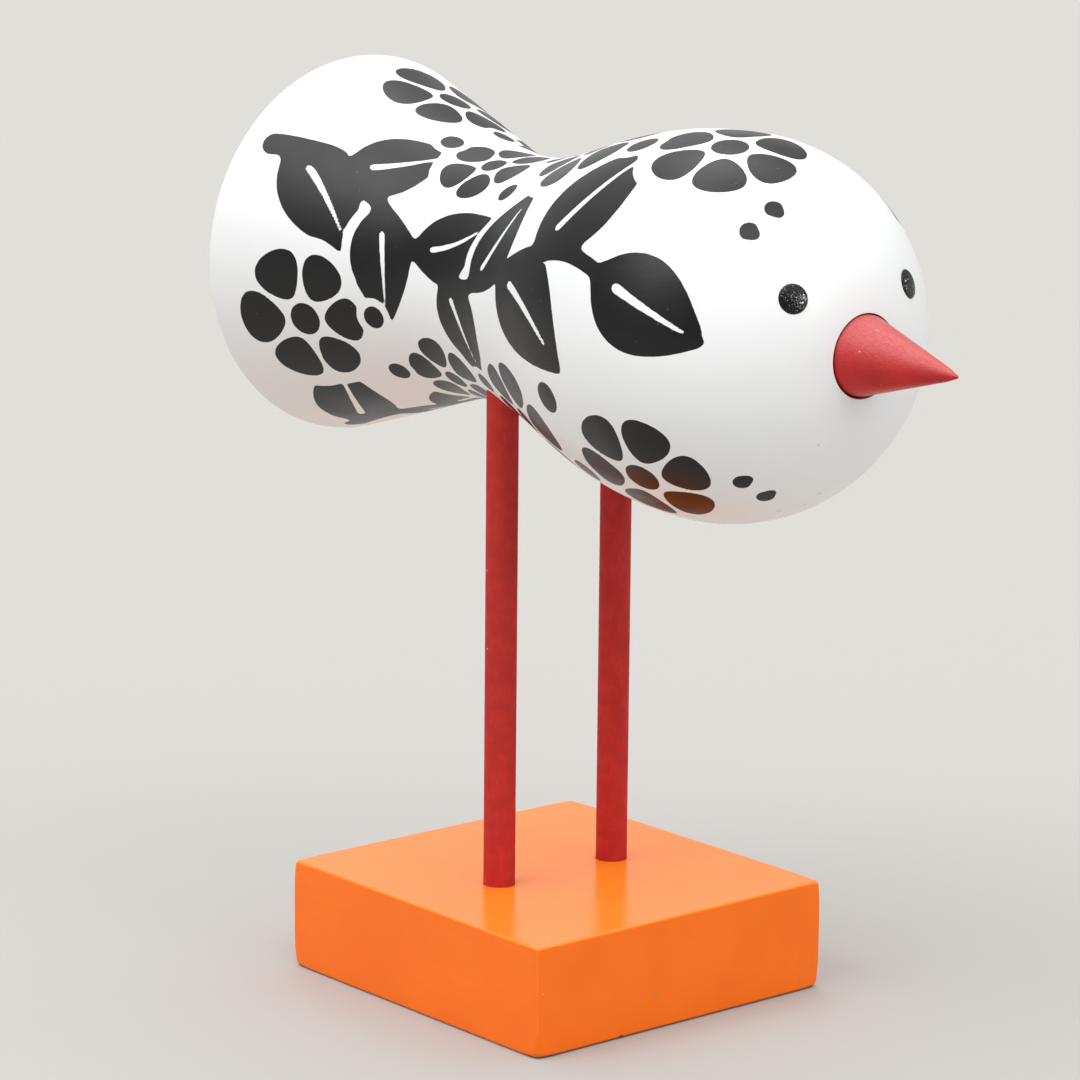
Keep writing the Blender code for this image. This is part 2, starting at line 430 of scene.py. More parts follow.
class Dress:
    """One material under way, with its sheet, its shader and the effects to place."""

    def __init__(self, name: str, effects: EffectLibrary) -> None:
        """Start a material.

        Args:
            name: The material's name.
            effects: Shared effects.
        """
        self.material = bpy.data.materials.new(name)
        self.material.use_nodes = True
        self.sheet = NodeSheet(self.material.node_tree)
        self.effects = effects
        self.shader = self.material.node_tree.nodes["Principled BSDF"]
        self.spot = self.sheet.node("ShaderNodeTexCoord").outputs["Object"]

    def stored(self, name: str) -> bpy.types.NodeSocket:
        """Number stored on the mesh under this name."""
        return self.sheet.node("ShaderNodeAttribute", attribute_name=name).outputs["Fac"]

    def place(self, group: bpy.types.NodeTree, **inputs: Feed) -> bpy.types.Node:
        """Place a shared effect that reads the piece's own coordinates."""
        return self.sheet.effect(group, Position=self.spot, **inputs)

    def gloss(self, scale: float, low: float, high: float) -> bpy.types.NodeSocket:
        """Roughness that handling varies between two values.

        Args:
            scale: Patches to a metre, roughly.
            low: Lowest roughness.
            high: Highest roughness.

        Returns:
            The roughness's output.
        """
        return self.place(self.effects.handling, Scale=scale, Low=low, High=high).outputs["Roughness"]

    def dust(self, scale: float, share: float, size: float) -> bpy.types.NodeSocket:
        """Mask of scattered dust.

        Args:
            scale: Cells to a metre, roughly.
            share: Share of the cells that hold a speck.
            size: Radius of a speck against its cell.

        Returns:
            The mask's output.
        """
        return self.place(self.effects.specks, Scale=scale, Share=share, Size=size).outputs["Mask"]

    def bump(self, height: Feed, depth: float) -> None:
        """Raise the surface's shading.

        Args:
            height: Height between 0 and 1.
            depth: What a height of 1 stands for, in metres.
        """
        made = self.sheet.node("ShaderNodeBump")
        made.inputs["Strength"].default_value = 1.0
        made.inputs["Distance"].default_value = depth
        self.sheet.feed(made.inputs["Height"], height)
        self.sheet.feed(self.shader.inputs["Normal"], made.outputs["Normal"])

    def set(self, name: str, source: Feed) -> None:
        """Fill one input of the shader."""
        self.sheet.feed(self.shader.inputs[name], source)


@dataclass(frozen=True)
class Scratch:
    """A wavering scratch, with its place in the part's frame and its sizes in millimetres."""

    centre: Triple
    along: Triple
    across: Triple
    length: float
    width: float
    tone: Colour
    strength: float = 0.8

    def mask(self, dress: Dress) -> bpy.types.NodeSocket:
        """Lay the nodes whose output is 1 on the scratch."""
        made = dress.place(
            dress.effects.scratch,
            Centre=tuple(MM * part for part in self.centre),
            Along=self.along,
            Across=self.across,
            Length=MM * self.length,
            Width=MM * self.width,
            Waver=MM * 2.0 * self.width,
        )
        return made.outputs["Mask"]


@dataclass(frozen=True)
class Spot:
    """A small ragged spot, chip or speck, with its place and its radius in millimetres."""

    centre: Triple
    radius: float
    tone: Colour
    strength: float = 0.8
    ragged: float = 1.4

    def mask(self, dress: Dress) -> bpy.types.NodeSocket:
        """Lay the nodes whose output is 1 on the spot."""
        centre = tuple(MM * part for part in self.centre)
        made = dress.place(dress.effects.blemish, Centre=centre, Radius=MM * self.radius, Ragged=self.ragged)
        return made.outputs["Mask"]


Mark = Union[Scratch, Spot]


def lay_marks(dress: Dress, colour: bpy.types.NodeSocket, marks: Sequence[Mark]) -> bpy.types.NodeSocket:
    """Blend single marks into a colour.

    Args:
        dress: Material under way.
        colour: Colour without them.
        marks: The marks.

    Returns:
        Colour with the marks on it.
    """
    for mark in marks:
        share = dress.sheet.math("MULTIPLY", mark.mask(dress), mark.strength)
        colour = dress.sheet.blend(share, colour, rgba(mark.tone))
    return colour


@dataclass(frozen=True)
class PrintedLacquer:
    """White satin lacquer with a black print on it."""

    white: Colour = (0.844, 0.859, 0.864)
    clouding: float = 0.985
    ink: Colour = (0.0026, 0.0024, 0.0032)
    dust: Colour = (0.16, 0.15, 0.15)
    dust_share: float = 0.5
    rubbed: Colour = (0.11, 0.085, 0.07)
    rubbed_share: float = 0.035
    rub_from: float = 0.58
    rub_to: float = 0.72
    print_waver: float = 0.22
    print_waver_scale: float = 420.0
    print_softness: float = 0.07
    grain_stretch: Triple = (0.06, 1.0, 1.0)
    grain_relief: float = 0.8
    shine: float = 0.39
    relief_depth: float = 0.022 * MM
    on_ink: tuple[Mark, ...] = ()
    on_white: tuple[Mark, ...] = ()

    def make(self, effects: EffectLibrary) -> bpy.types.Material:
        """Build the material.

        Args:
            effects: Shared effects.

        Returns:
            The material, which reads the mesh's print distance.
        """
        dress = Dress("printed_lacquer", effects)
        sheet = dress.sheet
        scales = {"Peel_Scale": 1500.0, "Grain_Scale": 420.0, "Cloud_Scale": 24.0}
        film = dress.place(effects.film, Stretch=self.grain_stretch, **scales)
        drawn = dress.stored("print")
        waver = sheet.waver(dress.spot, self.print_waver_scale, self.print_waver)
        edge = sheet.math("ADD", drawn, waver)
        inked = sheet.ease(edge, -self.print_softness, self.print_softness, 1.0, 0.0)
        clouded = tuple(self.clouding * part for part in self.white)
        white = sheet.blend(film.outputs["Cloud"], rgba(clouded), rgba(self.white))
        dust = sheet.math("MULTIPLY", dress.dust(scale=620.0, share=0.16, size=0.12), self.dust_share)
        rubbed = sheet.ease(film.outputs["Grain"], self.rub_from, self.rub_to, 0.0, self.rubbed_share)
        ink = sheet.blend(dust, rgba(self.ink), rgba(self.dust))
        ink = sheet.blend(rubbed, ink, rgba(self.rubbed))
        ink = lay_marks(dress, ink, self.on_ink)
        white = lay_marks(dress, white, self.on_white)
        dress.set("Base Color", sheet.blend(inked, white, ink))
        roughness = sheet.node("ShaderNodeMix")
        sheet.feed(roughness.inputs["Factor"], inked)
        sheet.feed(roughness.inputs["A"], dress.gloss(scale=45.0, low=0.34, high=0.40))
        sheet.feed(roughness.inputs["B"], dress.gloss(scale=70.0, low=0.30, high=0.37))
        dress.set("Roughness", roughness.outputs[0])
        dress.set("Specular IOR Level", self.shine)
        grain = sheet.math("MULTIPLY", film.outputs["Grain"], self.grain_relief)
        dress.bump(sheet.math("ADD", film.outputs["Peel"], grain), self.relief_depth)
        return dress.material


@dataclass(frozen=True)
class SatinPaint:
    """Opaque satin paint on wood, a little worn at its edges, with an optional painted highlight on the faces
    that look up and an optional painted shadow along its foot.
    """

    name: str
    colour: Colour
    deep: Colour
    worn: Colour
    stretch: Triple
    low: float
    high: float
    shine: float
    grain_scale: float = 900.0
    grain_share: float = 0.35
    grain_from: float = 0.32
    grain_to: float = 0.60
    grain_depth: float = 0.03 * MM
    peel_relief: float = 0.5
    cloud_scale: float = 40.0
    cloud_from: float = 0.35
    cloud_to: float = 0.65
    wear_reach: float = 0.15
    wear_share: float = 0.6
    dust_share: float = 0.35
    # Painted highlight: a paler colour on the faces that look up, and its share.
    painted_highlight: Union[Colour, None] = None
    highlight_low: float = 0.86
    highlight_high: float = 0.94
    highlight_grain_to: float = 0.68
    # Painted shadow: a dark band along the foot, its share and where it fades out.
    foot_shadow: Union[Colour, None] = None
    foot_shadow_share: float = 0.9
    foot_shadow_from: float = -1.0
    foot_shadow_to: float = -0.15
    marks: tuple[Mark, ...] = ()

    def make(self, effects: EffectLibrary) -> bpy.types.Material:
        """Build the material.

        Args:
            effects: Shared effects.

        Returns:
            The material, which reads the mesh's distance to its edges and its stored painted light: a lighter
            top and a shadowed foot.
        """
        dress = Dress(self.name, effects)
        sheet = dress.sheet
        scales = {"Peel_Scale": 1300.0, "Grain_Scale": self.grain_scale, "Cloud_Scale": self.cloud_scale}
        film = dress.place(effects.film, Stretch=self.stretch, **scales)
        grain = film.outputs["Grain"]
        cloud = sheet.ease(film.outputs["Cloud"], self.cloud_from, self.cloud_to)
        toned = sheet.blend(cloud, rgba(self.deep), rgba(self.colour))
        shown = sheet.ease(grain, self.grain_from, self.grain_to, self.grain_share, 0.0)
        toned = sheet.blend(shown, toned, rgba(self.deep))
        # Painted highlight on the faces that look up, from the stored fade number.
        if self.painted_highlight is not None:
            share = sheet.ease(grain, self.grain_from, self.highlight_grain_to, self.highlight_low, self.highlight_high)
            toned = sheet.blend(sheet.math("MULTIPLY", dress.stored("fade"), share), toned, rgba(self.painted_highlight))
        # Painted shadow along the foot, where the stored fade number is negative.
        if self.foot_shadow is not None:
            foot_shade = dress.stored("fade")
            share = sheet.ease(foot_shade, self.foot_shadow_from, self.foot_shadow_to, self.foot_shadow_share, 0.0)
            toned = sheet.blend(share, toned, rgba(self.foot_shadow))
        dust = sheet.math("MULTIPLY", dress.dust(scale=300.0, share=0.05, size=0.10), self.dust_share)
        toned = sheet.blend(dust, toned, rgba(self.worn))
        edge = {"Edge": dress.stored("edge"), "Reach": self.wear_reach}
        wear = dress.place(effects.edge_wear, Ragged=0.7, Scale=220.0, **edge).outputs["Mask"]
        toned = sheet.blend(sheet.math("MULTIPLY", wear, self.wear_share), toned, rgba(self.worn))
        dress.set("Base Color", lay_marks(dress, toned, self.marks))
        dress.set("Roughness", dress.gloss(scale=55.0, low=self.low, high=self.high))
        dress.set("Specular IOR Level", self.shine)
        peel = sheet.math("MULTIPLY", film.outputs["Peel"], self.peel_relief)
        dress.bump(sheet.math("ADD", peel, grain), self.grain_depth)
        return dress.material


@dataclass(frozen=True)
class EyeGloss:
    """Black enamel of the eyes, with pale specks on its dome, partly dust and partly painted glints, and
    further painted glints at given places.
    """

    ink: Colour = (0.0025, 0.0025, 0.0038)
    # Pale specks on the dome: partly dust, partly painted glints.
    dust: Colour = (0.40, 0.395, 0.40)
    shine: float = 0.45
    peel_depth: float = 0.02 * MM
    # Pale specks painted where light glints on the crinkled enamel.
    painted_glints: tuple[Spot, ...] = ()

    def make(self, effects: EffectLibrary) -> bpy.types.Material:
        """Build the material.

        Args:
            effects: Shared effects.

        Returns:
            The material.
        """
        dress = Dress("eye_enamel", effects)
        # Pale specks, partly dust and partly painted glints.
        dust = dress.dust(scale=1500.0, share=0.14, size=0.24)
        toned = dress.sheet.blend(dust, rgba(self.ink), rgba(self.dust))
        dress.set("Base Color", lay_marks(dress, toned, self.painted_glints))
        dress.set("Roughness", dress.gloss(scale=900.0, low=0.06, high=0.11))
        dress.set("Specular IOR Level", self.shine)
        dress.bump(dress.place(effects.film, Peel_Scale=2600.0).outputs["Peel"], self.peel_depth)
        return dress.material


@dataclass(frozen=True)
class BareWood:
    """Unpainted wood inside the drilled holes."""

    pale: Colour = (0.36, 0.22, 0.11)
    dark: Colour = (0.16, 0.085, 0.04)
    grain_stretch: Triple = (0.08, 1.0, 1.0)
    grain_from: float = 0.3
    grain_to: float = 0.7
    grain_depth: float = 0.1 * MM

    def make(self, effects: EffectLibrary) -> bpy.types.Material:
        """Build the material.

        Args:
            effects: Shared effects.

        Returns:
            The material.
        """
        dress = Dress("bare_wood", effects)
        film = dress.place(effects.film, Stretch=self.grain_stretch, Grain_Scale=1500.0)
        grain = film.outputs["Grain"]
        share = dress.sheet.ease(grain, self.grain_from, self.grain_to)
        dress.set("Base Color", dress.sheet.blend(share, rgba(self.dark), rgba(self.pale)))
        dress.set("Roughness", dress.gloss(scale=200.0, low=0.65, high=0.85))
        dress.bump(grain, self.grain_depth)
        return dress.material


@dataclass(frozen=True)
class StudioSweep:
    """Matt pale floor of the studio."""

    colour: Colour = (0.435, 0.422, 0.401)

    def make(self, effects: EffectLibrary) -> bpy.types.Material:
        """Build the material.

        Args:
            effects: Shared effects.

        Returns:
            The material.
        """
        dress = Dress("studio_sweep", effects)
        dress.set("Base Color", rgba(self.colour))
        dress.set("Roughness", 0.9)
        dress.set("Specular IOR Level", 0.1)
        return dress.material


def place_piece(name: str, mesh: bpy.types.Mesh) -> bpy.types.Object:
    """Put a mesh in the scene.

    Args:
        name: Name of the object.
        mesh: Its mesh.

    Returns:
        The object, at the origin.
    """
    piece = bpy.data.objects.new(name, mesh)
    bpy.context.scene.collection.objects.link(piece)
    return piece


def bake_modifiers(piece: bpy.types.Object) -> None:
    """Make the evaluated shape the piece's own plain mesh and drop its modifiers."""
    graph = bpy.context.evaluated_depsgraph_get()
    mesh = bpy.data.meshes.new_from_object(
        piece.evaluated_get(graph), preserve_all_data_layers=True, depsgraph=graph
    )
    old = piece.data
    piece.modifiers.clear()
    piece.data = mesh
    mesh.name = piece.name
    if old.users == 0:
        bpy.data.meshes.remove(old)


def gathered(items: bpy.types.bpy_prop_collection, name: str, width: int, kind: type) -> np.ndarray:
    """Read one property of every item of a mesh.

    Args:
        items: The mesh's vertices, edges, corners or faces.
        name: Name of the property.
        width: How many numbers it holds.
        kind: Type of its numbers.

    Returns:
        One row for each item, or one number where width is 1.
    """
    flat = np.empty(len(items) * width, dtype=kind)
    items.foreach_get(name, flat)
    return flat if width == 1 else flat.reshape(-1, width)


def points_of(mesh: bpy.types.Mesh) -> np.ndarray:
    """Places of the mesh's vertices, one row each."""
    return gathered(mesh.vertices, "co", 3, np.float32).astype(float)


def settled(mesh: bpy.types.Mesh, values: np.ndarray, share: float) -> np.ndarray:
    """Blend each vertex's number with those of its neighbours.

    Args:
        mesh: Mesh whose edges say which vertices are neighbours.
        values: One number for each vertex.
        share: Share that the neighbours' mean gets.

    Returns:
        The blended numbers.
    """
    ends = gathered(mesh.edges, "vertices", 2, np.int32)
    ends = np.concatenate([ends, ends[:, ::-1]])
    total = np.bincount(ends[:, 0], weights=values[ends[:, 1]], minlength=len(values))
    number = np.bincount(ends[:, 0], minlength=len(values))
    return (1.0 - share) * values + share * total / np.maximum(number, 1)


def store_number(mesh: bpy.types.Mesh, name: str, values: np.ndarray) -> None:
    """Store one number for each vertex of a mesh.

    Args:
        mesh: Mesh to store it on.
        name: Attribute's name.
        values: One number for each vertex.
    """
    layer = mesh.attributes.new(name, "FLOAT", "POINT")
    layer.data.foreach_set("value", values.astype(np.float32))


def evenly(points: np.ndarray, steps: int) -> np.ndarray:
    """Spread points evenly along a path.

    Args:
        points: Path, one row for each point.
        steps: Number of equal stretches.

    Returns:
        steps + 1 points, both ends included.
    """
    reach = np.concatenate([[0.0], np.cumsum(np.linalg.norm(np.diff(points, axis=0), axis=1))])
    wanted = np.linspace(0.0, reach[-1], steps + 1)
    return np.stack([np.interp(wanted, reach, points[:, axis]) for axis in range(points.shape[1])], axis=1)


def bezier(start: Vector, first: Vector, second: Vector, end: Vector, count: int = 600) -> np.ndarray:
    """Points of a cubic curve, closely spaced.

    Args:
        start: First end.
        first: Handle of the first end.
        second: Handle of the second end.
        end: Second end.
        count: Number of points.

    Returns:
        The points, one row each.
    """
    return np.array([tuple(point) for point in interpolate_bezier(start, first, second, end, count)])


class Lathe:
    """Geometry Nodes that turn an outline about its local Z into a closed form."""

    def __init__(self) -> None:
        """Build the node tree."""
        tree = bpy.data.node_groups.new("turned_form", "GeometryNodeTree")
        tree.is_modifier = True
        face = tree.interface
        face.new_socket("Outline", in_out="INPUT", socket_type="NodeSocketGeometry")
        self.rings = face.new_socket("Rings", in_out="INPUT", socket_type="NodeSocketInt").identifier
        self.sides = face.new_socket("Sides", in_out="INPUT", socket_type="NodeSocketInt").identifier
        self.finish = face.new_socket("Finish", in_out="INPUT", socket_type="NodeSocketMaterial").identifier
        face.new_socket("Form", in_out="OUTPUT", socket_type="NodeSocketGeometry")
        self.tree = tree
        self._lay()

    def _lay(self) -> None:
        """Lay the nodes: a grid wound round the axis, closed, smoothed and dressed."""
        sheet = NodeSheet(self.tree)
        given = sheet.node("NodeGroupInput")
        made = sheet.node("NodeGroupOutput")
        columns = sheet.math("ADD", given.outputs["Sides"], 1.0)
        grid = sheet.node("GeometryNodeMeshGrid")
        sheet.feed(grid.inputs["Vertices X"], given.outputs["Rings"])
        sheet.feed(grid.inputs["Vertices Y"], columns)
        number = sheet.node("GeometryNodeInputIndex").outputs[0]
        ring = sheet.math("FLOOR", sheet.math("DIVIDE", sheet.math("ADD", number, 0.5), columns))
        step = sheet.math("SUBTRACT", number, sheet.math("MULTIPLY", ring, columns))
        angle = sheet.math("MULTIPLY", sheet.math("DIVIDE", step, given.outputs["Sides"]), math.tau)
        outline = sheet.node("GeometryNodeSampleIndex", data_type="FLOAT_VECTOR", domain="POINT")
        sheet.feed(outline.inputs["Geometry"], given.outputs["Outline"])
        sheet.feed(outline.inputs["Value"], sheet.node("GeometryNodeInputPosition").outputs[0])
        sheet.feed(outline.inputs["Index"], ring)
        apart = sheet.node("ShaderNodeSeparateXYZ")
        sheet.feed(apart.inputs[0], outline.outputs["Value"])
        place = sheet.node("ShaderNodeCombineXYZ")
        sheet.feed(place.inputs["X"], sheet.math("MULTIPLY", apart.outputs["X"], sheet.math("COSINE", angle)))
        sheet.feed(place.inputs["Y"], sheet.math("MULTIPLY", apart.outputs["X"], sheet.math("SINE", angle)))
        sheet.feed(place.inputs["Z"], apart.outputs["Z"])
        wound = sheet.node("GeometryNodeSetPosition")
        sheet.feed(wound.inputs["Geometry"], grid.outputs["Mesh"])
        sheet.feed(wound.inputs["Position"], place.outputs[0])
        closed = sheet.node("GeometryNodeMergeByDistance")
        sheet.feed(closed.inputs["Geometry"], wound.outputs[0])
        closed.inputs["Distance"].default_value = WELD
        smooth = sheet.node("GeometryNodeSetShadeSmooth")
        sheet.feed(smooth.inputs[0], closed.outputs[0])
        real = sheet.node("GeometryNodeRealizeInstances")
        sheet.feed(real.inputs["Geometry"], smooth.outputs[0])
        dressed = sheet.node("GeometryNodeSetMaterial")
        sheet.feed(dressed.inputs["Geometry"], real.outputs[0])
        sheet.feed(dressed.inputs["Material"], given.outputs["Finish"])
        sheet.feed(made.inputs[0], dressed.outputs[0])

    def turn(
        self, name: str, outline: np.ndarray, sides: int, finish: bpy.types.Material, place: Matrix
    ) -> bpy.types.Object:
        """Turn one closed form.

        Args:
            name: Name of the object.
            outline: Radius and height of each ring, from the top to the bottom.
            sides: Number of sides round it.
            finish: Its material.
            place: Where its local frame stands in the part's frame.

        Returns:
            A plain mesh object at the origin.
        """
        mesh = bpy.data.meshes.new(name)
        mesh.from_pydata([(radius, 0.0, height) for radius, height in outline], [], [])
        piece = place_piece(name, mesh)
        turning = piece.modifiers.new("turned_form", "NODES")
        turning.node_group = self.tree
        turning[self.rings] = len(outline)
        turning[self.sides] = sides
        turning[self.finish] = finish
        bake_modifiers(piece)
        piece.data.transform(place)
        return piece


@dataclass
class Workshop:
    """What the sub-assemblies share: the lathe and the finishes by name."""

    lathe: Lathe
    finishes: dict[str, bpy.types.Material]

    def cut(self, piece: bpy.types.Object, cutters: Sequence[bpy.types.Object]) -> None:
        """Cut closed forms out of a piece and drop them.

        Args:
            piece: Object to cut.
            cutters: Closed forms whose faces keep their own finish.
        """
        tray = bpy.data.collections.new("cutters")
        for cutter in cutters:
            tray.objects.link(cutter)
        cut = piece.modifiers.new("drilled", "BOOLEAN")
        cut.operation = "DIFFERENCE"
        cut.operand_type = "COLLECTION"
        cut.collection = tray
        cut.solver = "MANIFOLD"
        cut.material_mode = "TRANSFER"
        bpy.context.view_layer.update()
        bake_modifiers(piece)
        for cutter in cutters:
            bpy.data.meshes.remove(cutter.data)
        bpy.data.collections.remove(tray)

    @staticmethod
    def hand_over(piece: bpy.types.Object, node: str, slot: Slot) -> None:
        """Let a finished piece stand for its CAD node.

        Args:
            piece: The finished piece.
            node: CAD node that it replaces.
            slot: Material slot of the record; not used.
        """
        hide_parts(node)
        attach(piece, ROOT_BODY)
        LOG.info("%s: %d vertices, %d faces", piece.name, len(piece.data.vertices), len(piece.data.polygons))


@dataclass(frozen=True)
class Leaf:
    """Pointed leaf with a bare vein, in millimetres at the waist's scale."""

    length: float
    width: float
    bend: float
    vein: float = 1.6
    vein_start: float = 0.22
    vein_end: float = 0.80
    foot_fullness: float = 0.80
    roundness: float = 0.86
    steepness: float = 1.9

    def distance(self, along: np.ndarray, across: np.ndarray) -> np.ndarray:
        """Distance to the leaf's edge.

        Args:
            along: Distance from the leaf's foot towards its tip.
            across: Distance from its middle line.

        Returns:
            Distances, negative inside.
        """
        share = np.clip(along / self.length, 0.0, 1.0)
        across = across - self.bend * 4.0 * share * (1.0 - share)
        swell = np.pi * share**self.foot_fullness
        half = 0.5 * self.width * np.sin(swell) ** self.roundness
        steep = self.steepness * self.width / self.length * np.abs(np.cos(swell))
        beyond = np.maximum(np.maximum(-along, along - self.length), 0.0)
        outside = np.hypot(beyond, np.maximum(np.abs(across) - half, 0.0))
        edge = np.where(beyond > 0.0, outside, (np.abs(across) - half) / np.hypot(1.0, steep))
        start, end = self.vein_start * self.length, self.vein_end * self.length
        vein = np.clip((along - start) / (end - start), 0.0, 1.0)
        slit = np.hypot(along - start - vein * (end - start), across) - 0.5 * self.vein * (1.0 - 0.5 * vein)
        return np.maximum(edge, -slit)


@dataclass(frozen=True)
class Blossom:
    """Round flower with separate petals round an eye, in millimetres at the waist's scale."""

    radius: float
    petals: int
    spin: float
    petal_start: float = 0.33
    petal_fill: float = 0.86
    petal_flare: float = 0.36
    eye_share: float = 0.235
    middle_share: float = 0.2

    def distance(self, along: np.ndarray, across: np.ndarray) -> np.ndarray:
        """Distance to the flower's edge.

        Args:
            along: First distance from its middle.
            across: Second distance from its middle.

        Returns:
            Distances, negative inside.
        """
        far = np.hypot(along, across)
        sector = math.tau / self.petals
        angle = (np.arctan2(across, along) - self.spin + sector / 2) % sector - sector / 2
        inner = self.petal_start * self.radius
        middle = (self.radius + inner) / 2
        half_long = (self.radius - inner) / 2
        half_wide = self.petal_fill * math.tan(sector / 2) * middle
        out = far * np.cos(angle) - middle
        aside = far * np.sin(angle) / (1.0 + self.petal_flare * np.clip(out / half_long, -1.0, 1.0))
        level = (out / half_long) ** 2 + (aside / half_wide) ** 2
        slope = np.hypot(out / half_long**2, aside / half_wide**2) + WELD
        petal = np.where(far < self.middle_share * inner, inner - far, (level - 1.0) / (2.0 * slope))
        return np.minimum(petal, far - self.eye_share * self.radius)


@dataclass(frozen=True)
class Berry:
    """Round dot, in millimetres at the waist's scale."""

    radius: float

    def distance(self, along: np.ndarray, across: np.ndarray) -> np.ndarray:
        """Distance to the dot's edge from these two distances to its middle."""
        return np.hypot(along, across) - self.radius


Motif = Union[Leaf, Blossom, Berry]


def soft_join(first: np.ndarray, second: np.ndarray, reach: float) -> np.ndarray:
    """Join two shapes with a fillet.

    Args:
        first: Distances to one shape.
        second: Distances to the other.
        reach: Size of the fillet.

    Returns:
        Distances to both together.
    """
    share = np.clip(0.5 + 0.5 * (second - first) / reach, 0.0, 1.0)
    return second + (first - second) * share - reach * share * (1.0 - share)


class PrintSheet:
    """The turned surface laid flat without bending its angles, and the ink on it."""

    def __init__(self, run: np.ndarray, turn: np.ndarray, scale: float) -> None:
        """Start a bare sheet.

        Args:
            run: Place along the body, in turns of the local radius from the waist.
            turn: Angle round the body from its crest.
            scale: Millimetres that one unit of run has at the waist.
        """
        self.run = run
        self.turn = turn
        self.scale = scale
        self.ink = np.full(run.shape, FAR_FROM_INK)

    def _across(self, turn: float) -> np.ndarray:
        """Distance round the body from this angle."""
        return ((self.turn - turn + math.pi) % math.tau - math.pi) * self.scale

    def shape(self, motif: Motif, run: float, turn: float, heading: float = 0.0) -> np.ndarray:
        """Distance to a motif that is set down somewhere.

        Args:
            motif: What is set down.
            run: Its place along the body.
            turn: Its angle round the body.
            heading: Its direction, as an angle from the tail-to-head direction.

        Returns:
            Distances at every point of the sheet.
        """
        ahead = (self.run - run) * self.scale
        aside = self._across(turn)
        cosine, sine = math.cos(heading), math.sin(heading)
        return motif.distance(ahead * cosine + aside * sine, aside * cosine - ahead * sine)

    def stem(self, path: Sequence[tuple[float, float]], start: float, end: float) -> np.ndarray:
        """Distance to a stem that thins along a path.

        Args:
            path: Run and turn of each of its points.
            start: Width at its first point.
            end: Width at its last point.

        Returns:
            Distances at every point of the sheet.
        """
        best = np.full(self.run.shape, FAR_AWAY)
        count = len(path) - 1
        for number, ((run, turn), (next_run, next_turn)) in enumerate(zip(path, path[1:])):
            ahead, aside = (self.run - run) * self.scale, self._across(turn)
            step, sway = (next_run - run) * self.scale, (next_turn - turn) * self.scale
            share = np.clip((ahead * step + aside * sway) / (step**2 + sway**2), 0.0, 1.0)
            width = 0.5 * (start + (end - start) * (number + share) / count)
            best = np.minimum(best, np.hypot(ahead - share * step, aside - share * sway) - width)
        return best

    def lay(self, shape: np.ndarray, margin: float) -> None:
        """Print a shape over what is there, with a bare line round it.

        Args:
            shape: Distances to the shape.
            margin: Width of the bare line.
        """
        self.ink = lay_over(self.ink, shape, margin)


def lay_over(below: np.ndarray, shape: np.ndarray, margin: float) -> np.ndarray:
    """Cut a margin round a shape out of what is below, and add the shape."""
    return np.minimum(np.maximum(below, margin - shape), shape)


